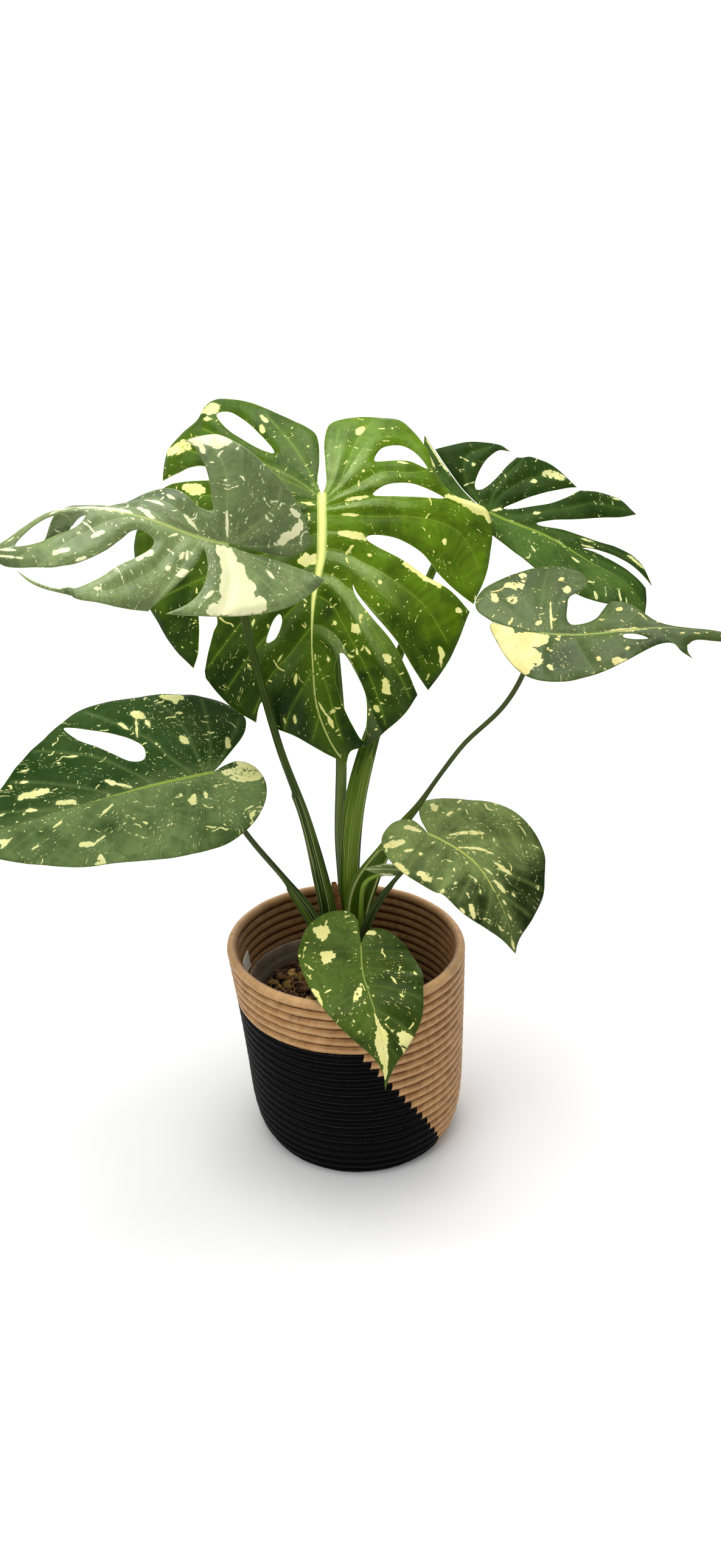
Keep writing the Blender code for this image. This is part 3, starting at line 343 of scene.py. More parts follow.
# Each leaf's outline: a loop of runs, each one smooth, that meet in corners, as (x, y). y runs from
# the base to the tip, and x across, to the left of someone who faces the leaf with its tip down.
OUTLINES = {
    "a": (
        ((0, 0), (-5, -16), (-4, -42), (-3, -78), (-9, -105), (-26, -115), (-56, -120), (-90, -121),
         (-110, -107), (-128, -80), (-137, -52), (-158, -24), (-188, -18), (-207, -12), (-214, 12),
         (-213, 45), (-205, 76), (-185, 121)),
        ((-185, 121), (-165, 106), (-142, 86), (-118, 61), (-88, 47), (-60, 45), (-52, 50), (-64, 58),
         (-92, 71), (-120, 87), (-145, 99), (-161, 111), (-179, 134)),
        ((-179, 134), (-165, 167), (-148, 198), (-125, 231)),
        ((-125, 231), (-107, 204), (-88, 173), (-62, 143), (-42, 117), (-36, 105), (-40, 120), (-59, 146),
         (-82, 173), (-98, 203), (-112, 236)),
        ((-112, 236), (-97, 260), (-76, 278), (-53, 296), (-32, 302), (-26, 318)),
        ((-26, 318), (-10, 309), (8, 298), (31, 285), (54, 275)),
        ((54, 275), (62, 254), (71, 243), (76, 252), (79, 268)),
        ((79, 268), (104, 254), (126, 235), (142, 215)),
        ((142, 207), (136, 180), (130, 157), (124, 141), (138, 109), (151, 114), (149, 136), (150, 180),
         (157, 204)),
        ((157, 204), (181, 178), (204, 142), (226, 108), (241, 76), (248, 40), (244, 6), (234, -28),
         (205, -55)),
        ((205, -55), (186, -56), (165, -52), (137, -44), (113, -34), (126, -54), (146, -69), (164, -73),
         (180, -70), (202, -68)),
        ((202, -68), (201, -92), (196, -115), (177, -131), (156, -144), (145, -163), (128, -170),
         (102, -161), (70, -143), (34, -116), (11, -97), (4, -78), (3, -45), (5, -18), (0, 0)),
    ),
    "b": (
        ((0, 0), (2, -10), (2, -34), (4, -60), (13, -77), (28, -82), (43, -74), (59, -59), (73, -42),
         (86, -18), (98, 6), (104, 36), (98, 65)),
        ((98, 65), (80, 53), (60, 36), (38, 25), (29, 23), (30, 40), (40, 62), (44, 78), (52, 92),
         (64, 106), (72, 124), (70, 146)),
        ((70, 146), (54, 134), (40, 130), (46, 144), (62, 162), (75, 186), (79, 210), (72, 238)),
        ((72, 238), (62, 214), (46, 190), (28, 172), (12, 163), (7, 176), (8, 204), (6, 236), (0, 264)),
        ((0, 264), (-13, 249), (-27, 239), (-42, 220), (-57, 198), (-60, 168), (-55, 147), (-44, 126),
         (-30, 110), (-18, 99), (-14, 88), (-20, 75), (-32, 78), (-48, 94), (-62, 116), (-76, 139),
         (-85, 164), (-84, 190), (-77, 208), (-58, 222), (-35, 233)),
        ((-35, 233), (-54, 227), (-70, 218), (-82, 208), (-90, 198), (-94, 188), (-95, 176), (-97, 165),
         (-100, 150), (-103, 128), (-101, 92), (-96, 67)),
        ((-96, 67), (-78, 54), (-54, 41), (-28, 29), (-12, 24), (-28, 19), (-52, 21), (-74, 31), (-92, 48)),
        ((-92, 48), (-88, 30), (-83, 8), (-74, -24), (-60, -57), (-42, -82), (-22, -100), (-6, -110)),
        ((-6, -110), (-3, -84), (-2, -45), (-2, -15), (0, 0)),
    ),
    "c": (
        ((0, 0), (7, -16), (9, -35), (-1, -50), (-18, -56), (-38, -54), (-60, -42), (-82, -19), (-97, 10),
         (-102, 45), (-100, 90), (-90, 138), (-82, 176), (-67, 213), (-42, 257), (-20, 283), (0, 298)),
        ((0, 298), (26, 274), (60, 232), (92, 202), (122, 162), (149, 123), (157, 98), (155, 52),
         (148, 0), (128, -43), (103, -66), (80, -73), (62, -68), (44, -54), (22, -28), (0, 0)),
    ),
    "d": (
        ((0, 0), (-0.5, -20), (-0.5, -62), (-1, -106)),
        ((-1, -106), (-37, -97), (-59, -85), (-74, -70), (-79, -49)),
        ((-79, -49), (-69, -62), (-51, -61), (-32, -52), (-14, -38), (-18, -28), (-40, -25), (-62, -28),
         (-80, -28)),
        ((-80, -28), (-88, -4), (-93, 22), (-94, 50), (-83, 77)),
        ((-83, 77), (-64, 62), (-46, 44), (-28, 26), (-13, 13), (-19, 29), (-38, 57), (-57, 72), (-81, 81)),
        ((-81, 81), (-95, 97), (-104, 118), (-97, 147)),
        ((-97, 147), (-73, 123), (-44, 96), (-20, 69), (-10, 58), (-10, 68), (-19, 90), (-28, 118),
         (-37, 152), (-38, 180), (-29, 207)),
        ((-29, 207), (-28, 184), (-26, 156), (-20, 132), (-11, 118), (-16, 134), (-18, 156), (-18, 182),
         (-19, 206)),
        ((-19, 206), (-9, 219), (4, 232)),
        ((4, 232), (26, 212), (40, 190), (45, 160), (47, 125), (45, 84), (37, 52), (28, 26), (22, 4),
         (20, -22), (22, -52), (19, -84), (12, -110), (1, -128)),
        ((1, -128), (0.5, -100), (0.5, -62), (0.5, -20), (0, 0)),
    ),
    "e": (
        ((0, 0), (-0.4, -18), (-0.4, -40), (-1, -58)),
        ((-1, -58), (-9, -78), (-20, -87), (-38, -89), (-60, -82), (-84, -67), (-103, -50), (-112, -26),
         (-111, -2), (-103, 14), (-90, 27)),
        ((-90, 27), (-75, 26), (-62, 13), (-46, 16), (-26, 23), (-16, 32), (-16, 46), (-22, 60),
         (-34, 66), (-44, 72), (-42, 83), (-34, 98), (-21, 112), (-9, 127), (-3, 144), (-2, 170),
         (-4, 205), (0, 236)),
        ((0, 236), (6, 214), (9, 190), (11, 170), (18, 162)),
        ((18, 162), (25, 164), (31, 170)),
        ((31, 170), (25, 157), (17, 147), (20, 130), (37, 104), (53, 75), (63, 48), (65, 22), (58, 0),
         (42, -22), (24, -41), (8, -56), (0.4, -56)),
        ((0.4, -56), (0.4, -40), (0.4, -18), (0, 0)),
    ),
    "f": (
        ((0, 0), (-13, -19), (-27, -30), (-42, -30), (-58, -12), (-72, 16), (-84, 44), (-90, 66),
         (-86, 88), (-75, 115), (-58, 142), (-34, 161), (-10, 179), (0, 195)),
        ((0, 195), (13, 172), (30, 148), (48, 118), (59, 80), (64, 36), (63, 2), (53, -28), (37, -46),
         (18, -49), (2, -43), (-7, -28), (-4, -12), (0, 0)),
    ),
    "g": (
        ((0, 0), (-4, -9), (-12, -18), (-28, -19), (-44, -10), (-58, 8), (-69, 33), (-72, 60), (-66, 91),
         (-55, 123), (-38, 145), (-16, 168), (-5, 187), (0, 204)),
        ((0, 204), (3, 180), (14, 159), (36, 129), (55, 93), (68, 52), (79, 14), (76, -6), (68, -27),
         (50, -43), (30, -49), (12, -46), (3, -35), (1, -18), (0, 0)),
    ),
    "h": (
        ((0, 0), (-3, -4), (-6, -3), (-8, 4), (-9, 15), (-7, 30), (-3, 44), (0, 54)),
        ((0, 54), (3, 44), (7, 30), (10, 15), (9, 4), (7, -3), (3, -4), (0, 0)),
    ),
}

# The holes of the leaves that have any, each a smooth loop.
HOLES = {
    "a": (
        ((-62, -52), (-72, -73), (-95, -81), (-114, -72), (-127, -53), (-104, -58), (-80, -55)),
        ((-60, -4), (-76, -20), (-100, -26), (-126, -22), (-148, -14), (-126, -9), (-90, -6)),
        ((-24, 185), (-36, 203), (-49, 232), (-51, 262), (-46, 289), (-34, 270), (-21, 239), (-14, 210),
         (-17, 189)),
        ((130, -145), (110, -142), (84, -113), (60, -76), (59, -66), (84, -85), (114, -116)),
        ((65, 170), (58, 149), (49, 139), (46, 148), (54, 166)),
    ),
    "b": (
        ((-8, 146), (-20, 156), (-25, 176), (-24, 200), (-12, 224), (-5, 206), (-4, 176), (-4, 152)),
    ),
    "c": (
        ((132, 134), (112, 108), (84, 79), (62, 66), (42, 71), (44, 87), (72, 108), (104, 128)),
    ),
    "e": (
        ((5, 95), (6, 108), (12, 121), (13, 108), (10, 96)),
    ),
}

# Each stalk's middle line from the stem up, with half its width across the view and half its depth.
STALKS = {
    "a": (
        (-23.4, 20.7, 188.4, 6.2, 6.2), (-23.4, 21.8, 225, 6.4, 6.2), (-20, 28, 280, 8, 6),
        (-18, 32, 335, 8.5, 6.5), (-22, 35, 400, 8, 6.5), (-21, 38, 515, 7, 6), (-26, 55, 620, 6.5, 6),
        (-34, 74, 710, 5.5, 5.5), (-40, 80, 785, 5, 5), (-42, 66, 838, 4.6, 4.6),
    ),
    "b": (
        (-35.6, 8.8, 188.4, 6.2, 6.2), (-36.6, 8.4, 222, 6.6, 5.8), (-39, 0, 275, 12, 4.8),
        (-40, -5, 328, 11.5, 4.6), (-46, -10, 368, 10.5, 4.6), (-56.5, -20, 427, 8.2, 4.6),
        (-68, -30, 481, 6.2, 4.6), (-79, -42, 523, 5.2, 4.6), (-90, -62, 570, 4.8, 4.6),
        (-109, -80, 660, 4.6, 4.4), (-121, -109, 746, 4.2, 4.2), (-129, -130, 797, 4, 4),
    ),
    "c": (
        (-35.8, -8.5, 188.4, 6.2, 6.2), (-36.8, -9.6, 218, 6.6, 5.4), (-44, -17, 270, 8.5, 4.4),
        (-57, -20, 318, 9.5, 4), (-72, -21, 346, 8, 4), (-87, -23, 372, 4.8, 3.8),
        (-110, -30, 408, 3.8, 3.6), (-137, -40, 452, 3.5, 3.5), (-156, -45, 492, 3.4, 3.4),
        (-169, -46, 520, 3.4, 3.4),
    ),
    "d": (
        (-6.2, 20.6, 188.4, 6.2, 6.2), (-6.2, 20.8, 225, 6.6, 6), (-10, 16, 270, 11, 6),
        (-12, 13, 332, 13.5, 6.5), (-11, 12, 390, 14, 7), (-3, 20, 471, 13.5, 7.5),
        (13, 40, 534, 11.5, 7.5), (46, 66, 632, 6.5, 6.2), (92, 100, 745, 5.2, 5.2),
        (135, 122, 795, 4.6, 4.6),
    ),
    "e": (
        (5.8, 8.5, 188.4, 6.2, 6.2), (6.4, 8, 222, 6.6, 5.4), (3, 2, 252, 10, 4.6),
        (-1, 0, 288, 14.5, 4), (0, 0, 326, 17, 3.8), (9, -3, 363, 17.5, 3.8), (27, -6, 401, 11.5, 4),
        (44, -9, 430, 8.5, 4), (57, -11, 452, 6.5, 3.8), (72, -18, 476, 4.6, 3.4),
        (89, -28, 508, 3.1, 3), (112, -40, 550, 3, 3), (128, -48, 576, 3, 3), (163, -66, 621, 3, 3),
        (187, -80, 672, 3, 3), (197, -88, 700, 3, 3),
    ),
    "f": (
        (-6.6, -20.7, 188.4, 6, 6), (-5.6, -21, 215, 6, 5.4), (1, -22, 265, 6, 4.6),
        (10, -24, 307, 6, 4.4), (22, -26, 341, 5.4, 4), (38, -30, 370, 3.6, 3.2),
        (53, -35, 393, 2.7, 2.7), (71, -39, 419, 2.7, 2.7), (82, -38, 437, 2.7, 2.7),
    ),
    "g": (
        (-23.8, -20.5, 188.4, 6, 6), (-23.4, -22.4, 212, 5.8, 5.2), (-16, -33, 244, 4.6, 4.2),
        (-6, -54, 276, 3.4, 3.4), (2, -69, 297, 3, 3),
    ),
    "h": (
        (5.6, -8.9, 188.4, 5.6, 5.6), (6, -10.4, 215, 5, 4.6), (4, -13, 270, 3.8, 3.2),
        (4, -13.5, 314, 3.4, 2.8), (5, -14, 351, 3, 2.6), (10, -15, 371, 2.9, 2.5),
        (20, -15, 379, 2.7, 2.4), (35, -14.5, 383, 2.3, 2.2),
    ),
}

# The dried sheath between two stalks, on the stem's top.
DRY_SHEATH = (
    (-18, 1, 218.4, 3.2, 1.2), (-19.5, 1.5, 245, 4.4, 1.2), (-22.5, 2.5, 285, 4.8, 1),
    (-26.5, 4, 325, 4.6, 0.8), (-31, 4, 362, 3, 0.6),
)

# Side veins of each leaf, from the midrib out, listed from the base to the tip: first those of
# the +x half, then those of the -x half.
VEINS = {
    "a": (
        (
            ((4, -4), (18, -40), (36, -78), (70, -135)),
            ((6, 0), (23, -17), (47, -36), (71, -54), (108, -92), (150, -130)),
            ((9, -2), (60, -34), (110, -62), (165, -100), (190, -118)),
            ((8, 8), (60, 6), (120, -12), (180, -36), (230, -42)),
            ((8, 22), (70, 34), (140, 34), (200, 20), (243, 22)),
            ((5, 46), (60, 66), (120, 84), (180, 102), (222, 118)),
            ((4, 76), (34, 98), (60, 120), (98, 150), (140, 205)),
            ((7, 108), (40, 140), (80, 180), (118, 236)), ((9, 150), (35, 182), (62, 214), (84, 262)),
            ((9, 200), (25, 228), (38, 252), (48, 280)), ((2, 250), (8, 270), (14, 292)),
        ),
        (
            ((-5, -3), (-12, -30), (-16, -64), (-20, -104)),
            ((-7, 2), (-20, -17), (-30, -45), (-42, -80), (-62, -116)),
            ((-7, 5), (-40, -15), (-73, -37), (-104, -40), (-130, -50)),
            ((-7, 14), (-50, 2), (-100, 0), (-150, -8), (-200, 4)),
            ((-7, 25), (-63, 23), (-94, 20), (-131, 21), (-160, 29), (-182, 50), (-200, 84)),
            ((-4, 63), (-24, 66), (-44, 76), (-80, 96), (-118, 126), (-150, 176)),
            ((0, 92), (-24, 104), (-60, 160), (-90, 212), (-104, 244)),
            ((2, 120), (-13, 132), (-28, 160), (-52, 206), (-66, 244), (-74, 276)),
            ((8, 190), (-4, 220), (-12, 252), (-22, 290)),
        ),
    ),
    "b": (
        (
            ((0, -3), (8, -36), (22, -76)), ((3, -5), (23, -20), (49, -36), (74, -38)),
            ((1, 1), (30, 8), (70, 18), (98, 44)), ((1, 23), (12, 44), (30, 78), (46, 108), (64, 136)),
            ((1, 62), (18, 104), (40, 146), (62, 186), (72, 224)),
            ((1, 130), (5, 162), (6, 200), (2, 240)),
        ),
        (
            ((-2, -4), (-8, -40), (-12, -92)), ((-4, -2), (-22, -26), (-44, -58), (-56, -64)),
            ((-6, 3), (-30, -4), (-56, -4), (-84, 2)), ((0, 28), (-31, 40), (-60, 50), (-92, 64)),
            ((0, 43), (-31, 58), (-62, 80), (-86, 120), (-92, 170)),
            ((-1, 97), (-13, 124), (-29, 152), (-44, 190), (-48, 214)),
        ),
    ),
    "c": (
        (
            ((3, -2), (28, -26), (56, -50), (80, -66)), ((5, 4), (48, -14), (92, -26), (130, -34)),
            ((7, 11), (44, 10), (90, 12), (146, 28)),
            ((5, 26), (34, 42), (70, 56), (112, 82), (152, 108)),
            ((1, 72), (27, 91), (65, 122), (98, 166), (104, 182)),
            ((0, 120), (25, 148), (48, 184), (66, 222)), ((0, 172), (12, 206), (26, 252), (28, 268)),
        ),
        (
            ((-1, 4), (-8, -18), (-22, -50)), ((-1, 13), (-12, 9), (-37, -5), (-72, -24)),
            ((-1, 22), (-40, 22), (-98, 34)), ((-1, 33), (-32, 41), (-59, 53), (-100, 86)),
            ((0, 80), (-30, 96), (-62, 122), (-88, 156)), ((0, 130), (-24, 154), (-54, 192), (-68, 208)),
            ((0, 182), (-14, 212), (-36, 258)),
        ),
    ),
    "d": (
        (
            ((1, -4), (8, -44), (12, -100)), ((2, 0), (12, -14), (20, -30)),
            ((1, 14), (16, 36), (34, 56), (40, 62)), ((1, 50), (15, 84), (34, 116), (46, 136)),
            ((0, 96), (12, 132), (30, 172), (38, 192)), ((0, 150), (6, 180), (14, 216)),
        ),
        (
            ((-2, -4), (-10, -50), (-30, -78), (-66, -74)), ((-4, -4), (-40, -16), (-88, -10)),
            ((-4, 2), (-25, 0), (-56, 20), (-88, 62)),
            ((-2, 10), (-14, 40), (-41, 74), (-76, 100), (-96, 132)),
            ((0, 52), (-10, 82), (-26, 126), (-33, 176)), ((0, 110), (-6, 140), (-12, 176), (-12, 208)),
        ),
    ),
    "e": (
        (
            ((1, -3), (8, -24), (16, -42)), ((2, 0), (24, -12), (46, -14)), ((1, 12), (30, 12), (62, 24)),
            ((1, 40), (24, 54), (52, 72)), ((1, 74), (20, 94), (34, 108)),
            ((3, 130), (12, 142), (24, 158)),
        ),
        (
            ((0, -3), (-8, -36), (-14, -78)), ((0, 0), (-19, -25), (-36, -52), (-56, -80)),
            ((-1, 5), (-38, -14), (-76, -28), (-108, -36)), ((-2, 11), (-39, 6), (-76, 6), (-100, 14)),
            ((0, 46), (-16, 62), (-40, 76)), ((0, 84), (-14, 100), (-24, 110)),
        ),
    ),
    "f": (
        (
            ((0, -4), (8, -24), (14, -44)), ((2, 0), (24, -18), (48, -34)), ((2, 8), (30, 4), (62, 6)),
            ((1, 34), (28, 48), (60, 66)), ((1, 68), (22, 88), (50, 108)),
            ((0, 104), (14, 124), (32, 142)), ((0, 140), (6, 154), (13, 168)),
        ),
        (
            ((-2, -3), (-16, -16), (-36, -29)), ((-2, 4), (-30, -2), (-64, 0)),
            ((-2, 18), (-35, 22), (-82, 42)), ((-1, 45), (-32, 60), (-84, 92)),
            ((0, 78), (-24, 98), (-60, 138)), ((0, 112), (-14, 132), (-32, 160)),
        ),
    ),
    "g": (
        (
            ((1, -3), (8, -24), (16, -44)), ((2, 0), (30, -16), (62, -32)), ((2, 12), (38, 10), (78, 4)),
            ((2, 38), (30, 46), (68, 52)), ((1, 70), (22, 82), (54, 92)),
            ((0, 105), (14, 118), (34, 130)), ((0, 142), (6, 154), (12, 162)),
        ),
        (
            ((-2, 0), (-16, -8), (-32, -16)), ((-2, 12), (-30, 12), (-60, 12)),
            ((-2, 38), (-30, 46), (-70, 62)), ((-1, 70), (-25, 82), (-60, 110)),
            ((-1, 105), (-16, 120), (-38, 144)), ((0, 140), (-8, 152), (-16, 166)),
        ),
    ),
    "h": (
        (
            ((1, 4), (5, 14), (8, 24)),
        ),
        (
            ((-1, 4), (-4, 14), (-7, 24)),
        ),
    ),
}

# The midribs that aren't straight.
MIDRIBS = {
    "a": (
        (0, 0), (0, 62), (3, 90), (9, 122), (12, 170), (10, 220), (7, 246), (0, 270), (-10, 294),
        (-22, 314),
    ),
}

# Cream patches of each leaf: from one end of a stroke to its other end, and half its width.
PATCHES = {
    "a": (
        (142, -155, 133, -154, 9), (144, -140, 137, -137, 3), (72, -127, 66, -117, 3),
        (72, -109, 69, -102, 3), (190, -109, 168, -108, 8), (167, -41, 147, -30, 6), (24, 8, 7, 13, 2),
        (22, 78, 10, 77, 6), (16, -68, 15, -70, 2.5), (-43, -92, -49, -101, 4), (-27, 6, -55, -1, 2),
        (-22, 23, -44, 23, 1.5), (-22, 45, -48, 49, 4), (-89, -54, -103, -53, 2),
        (-152, -17, -184, -15, 4.5), (-180, -13, -204, -7, 8.5), (-204, -6, -210, 8, 5),
        (-97, 76, -118, 88, 4), (-118, 88, -141, 99, 5.5), (-146, 45, -146, 49, 3),
        (-188, 109, -190, 117, 2.5), (-67, 100, -68, 104, 2.5), (-26, -42, -30, -49, 1.5),
        (-47, -32, -49, -35, 1.5), (-53, 69, -58, 70, 1.5), (30, 208, 31, 222, 1.5),
        (33, 257, 32, 267, 2), (-6, 258, -12, 273, 2), (5, 241, -5, 258, 1.5), (-36, 155, -40, 159, 4.5),
        (-73, 188, -77, 193, 4), (-72, 215, -74, 230, 4), (-74, 230, -79, 233, 2),
        (-39, 179, -40, 187, 1.5), (-6, 188, -7, 195, 1.5), (-61, 249, -64, 253, 3.5),
        (-137, 180, -141, 188, 3), (-138, 188, -140, 202, 1.5), (-162, 133, -164, 135, 3.5),
        (-14, 149, -16, 153, 2), (46, 261, 44, 269, 1.5), (52, 194, 46, 185, 1.2),
        (78, 143, 81, 152, 1.2), (-49, 178, -55, 186, 1.2),
    ),
    "b": (
        (97, 60, 100, 24, 8), (89, 53, 83, 49, 3), (17, -52, 29, -63, 4), (29, -63, 41, -68, 4),
        (51, -54, 48, -62, 3), (-10, 5, -15, -3, 8), (-24, -3, -34, -11, 13), (-40, -9, -55, -16, 19),
        (-62, -10, -68, -14, 18), (-74, 4, -79, 11, 5), (4, 150, 2, 102, 3.5), (-1, 180, 5, 156, 1.5),
        (14, 92, 3, 80, 3), (28, 86, 21, 71, 2), (33, 69, 29, 63, 1.5), (17, 51, 6, 33, 2),
        (-34, 143, -26, 130, 2.5), (-44, 190, -45, 168, 3), (-57, 161, -54, 149, 2),
        (-47, 91, -36, 78, 4), (-32, 46, -24, 44, 2), (-20, 40, -30, 39, 2), (-47, 43, -45, 38, 4.5),
        (-19, -43, -26, -51, 2), (32, 8, 7, 2, 1.5), (-79, 206, -85, 174, 2), (-5, 240, -18, 224, 1.2),
        (-12, 242, -32, 220, 1), (-88, 146, -87, 138, 1.5), (-67, 19, -57, 12, 1.5),
        (-13, 62, -5, 52, 1.5), (-45, 57, -47, 55, 3), (-80, 10, -71, -22, 2.5), (-60, -14, -63, -37, 9),
        (-68, 0, -67, -13, 2.5), (-54, -36, -57, -41, 4.5),
    ),
    "c": (
        (141, 12, 136, -5, 7), (133, 3, 125, 3, 4), (121, 60, 110, 53, 5), (112, 79, 98, 73, 2.5),
        (102, 50, 91, 50, 2.5), (109, 60, 77, 68, 1.2), (60, 18, 53, 16, 4.5), (47, -37, 33, -32, 3),
        (-4, -13, -3, -33, 5), (-15, -23, -18, -52, 6.5), (2, -37, -7, -55, 6.5),
        (-30, 36, -37, 38, 4.5), (-27, 20, -36, 21, 2.5), (78, 151, 73, 138, 2), (60, 211, 58, 202, 2.5),
        (35, 216, 34, 188, 4.5), (13, 182, 6, 164, 3), (16, 217, 12, 206, 2.5), (-21, 198, -15, 186, 2),
        (-25, 149, -13, 127, 2), (21, 121, 15, 115, 3), (15, 115, 3, 98, 2), (-53, 177, -56, 168, 3.5),
        (-59, 169, -51, 150, 1.2), (-76, 164, -80, 165, 3.5), (-81, 173, -84, 161, 2.5),
        (-18, 256, -19, 248, 3), (-27, 257, -17, 242, 1.2), (-40, 228, -37, 219, 1.2),
        (18, 246, 21, 239, 1.5), (71, 162, 69, 159, 1.5), (-22, 48, -26, 49, 2), (74, 206, 74, 194, 1.5),
        (62, 51, 58, 50, 1.5),
    ),
    "d": (
        (-78, 44, -84, 61, 5), (-59, 30, -64, 39, 2.5), (-3, 1, -11, 13, 2), (-20, 50, -25, 56, 2.5),
        (-30, -66, -29, -61, 2.5), (-98, 110, -103, 118, 1.5), (-63, 73, -72, 78, 1.5),
        (-20, 108, -28, 126, 1.5), (-14, 116, -20, 130, 1.5), (-34, 175, -35, 190, 1.5),
        (-35, 168, -36, 174, 1.5), (22, 64, 27, 73, 1.5), (-1, 25, -1, 33, 1.5), (-1, 86, 1, 104, 1.2),
        (8, 115, 9, 128, 1.5), (34, 163, 42, 173, 2), (14, 186, 25, 203, 1.2), (15, 202, 21, 211, 1.2),
        (22, 171, 32, 181, 1), (27, 144, 22, 156, 1.2), (2, -124, 2, -66, 1.2), (9, -112, 12, -84, 1.5),
    ),
    "e": (
        (1, -52, 17, -32, 11), (19, -26, 10, 5, 11), (36, -19, 36, 5, 12), (45, -14, 52, 3, 10),
        (30, -32, 42, -20, 9), (-58, -63, -62, -51, 5), (-80, -60, -81, -56, 4.5),
        (-71, -54, -71, -49, 2.2), (-37, -73, -29, -66, 3.5), (-39, -53, -37, -47, 4),
        (-73, 4, -71, 6, 5), (-89, -11, -88, -10, 3.5), (-89, -41, -88, -39, 2.5), (-12, -7, -16, -6, 3),
        (-2, 75, 1, 121, 2), (2, 22, 5, 26, 2.5), (8, 21, 11, 28, 2), (46, 26, 50, 30, 3),
        (35, 71, 38, 76, 2.5), (40, 89, 40, 100, 3.5), (25, 99, 24, 104, 2), (-30, 83, -26, 92, 2.5),
        (48, 14, 37, 17, 2), (-47, -6, -4, 13, 1.2), (1, 42, 1, 43, 1.5),
    ),
    "f": (
        (6, -28, 2, -11, 3), (41, -35, 28, -21, 4), (44, -34, 49, -31, 1.5), (38, -11, 31, -3, 2),
        (30, 7, 32, 11, 2), (58, -11, 63, 8, 4.5), (54, 23, 53, 38, 4), (30, -38, 26, -35, 1.2),
        (12, 12, 7, 15, 1.2), (-39, -16, -33, -11, 4), (-33, 6, -41, 9, 2.5), (-58, 7, -66, 8, 2),
        (-48, 13, -52, 16, 1.5), (-10, 24, -38, 55, 2), (-3, 43, -25, 75, 1.5), (-19, 83, -30, 103, 2.5),
        (-4, 82, -8, 93, 1.2), (-6, 101, -11, 120, 2.5), (-19, 123, -21, 131, 1.5),
        (-4, 126, -6, 132, 1.5), (-3, 142, -5, 153, 1.2), (36, 115, 38, 128, 3), (48, 112, 46, 120, 2.5),
        (24, 142, 23, 144, 1.5), (13, 153, 12, 156, 1.5), (1, 175, 0, 191, 1.5), (-81, 61, -82, 63, 1.5),
        (-75, 84, -81, 89, 1), (14, 89, 15, 95, 1.2), (16, 105, 18, 108, 1.2), (8, 62, 9, 66, 1.5),
        (21, 28, 23, 29, 1.2), (25, 56, 28, 60, 1.2), (56, 73, 56, 82, 3), (37, 78, 38, 83, 1.5),
    ),
    "g": (
        (55, -23, 43, -20, 6.5), (50, -18, 46, -10, 5.5), (47, 15, 36, 18, 6.5), (44, 21, 42, 24, 5.5),
        (78, 12, 76, 14, 2), (71, 25, 59, 37, 1), (64, 59, 59, 69, 3), (59, 69, 59, 85, 2.5),
        (51, 59, 48, 60, 1.5), (51, 69, 42, 66, 1.2), (9, 74, 17, 87, 4), (15, 85, 22, 92, 2),
        (6, 66, 7, 68, 2), (7, 95, 9, 97, 1.5), (1, 111, 0, 134, 2), (-1, 132, 3, 149, 6.5),
        (2, 149, 0, 168, 5), (0, 168, 0, 190, 2.5), (-23, 140, -34, 145, 4.5), (-25, 147, -30, 152, 5.5),
        (-26, 157, -24, 159, 2.5), (-9, -14, -18, -13, 3), (18, -47, 15, -46, 1.5),
        (-29, 48, -33, 50, 1.5), (-32, 65, -35, 80, 1.5), (-35, 95, -37, 102, 1.5),
        (-47, 51, -50, 57, 1.2), (-62, 56, -63, 68, 2), (-12, 130, -15, 135, 1.2),
        (27, 111, 27, 115, 1.5), (-48, 19, -51, 22, 1.5), (-3, 87, -5, 90, 1.2),
    ),
    "h": ((9, 2, 9, 34, 2.4), (-8, 4, -7, 30, 1.8)),
}

# Strokes where cream and green mingle.
MOTTLED = {
    "a": (
        (151, -17, 143, 0, 6), (96, 178, 94, 190, 4), (78, 157, 76, 181, 4), (150, -120, 190, -90, 8),
        (60, 0, 90, 6, 3),
    ),
    "b": ((-30, 10, -70, 30, 9), (60, 10, 84, 24, 8), (20, -30, 60, -40, 9), (-60, 120, -70, 170, 7)),
    "c": ((-12, -5, -10, -50, 10), (100, 60, 130, 30, 9), (-50, -10, -20, -20, 8), (40, 180, 20, 140, 7)),
    "d": ((-70, 30, -84, 64, 8), (20, 150, 34, 190, 6), (-20, 100, -30, 130, 5)),
    "e": ((-62, -58, -84, -52, 6), (-40, -60, -36, -40, 7), (20, 30, 50, 40, 8), (-6, 100, 4, 140, 4)),
    "f": ((-10, 24, -38, 60, 6), (-10, 90, -30, 110, 7), (40, -30, 60, 10, 7), (50, 30, 54, 80, 6)),
    "g": ((10, 70, 20, 100, 5), (60, -10, 66, 30, 7), (-40, 30, -50, 80, 8)),
    "h": (),
}


def unit(vector):
    vector = np.asarray(vector, float)
    return vector / np.linalg.norm(vector, axis=-1, keepdims=True)


def around(steps):
    """The angles of that many even steps round a circle."""
    return 2 * math.pi * np.arange(steps) / steps


def smoothstep(low, high, value):
    share = np.clip((value - low) / (high - low), 0, 1)
    return share * share * (3 - 2 * share)


def bell(value):
    return np.exp(-(value**2))


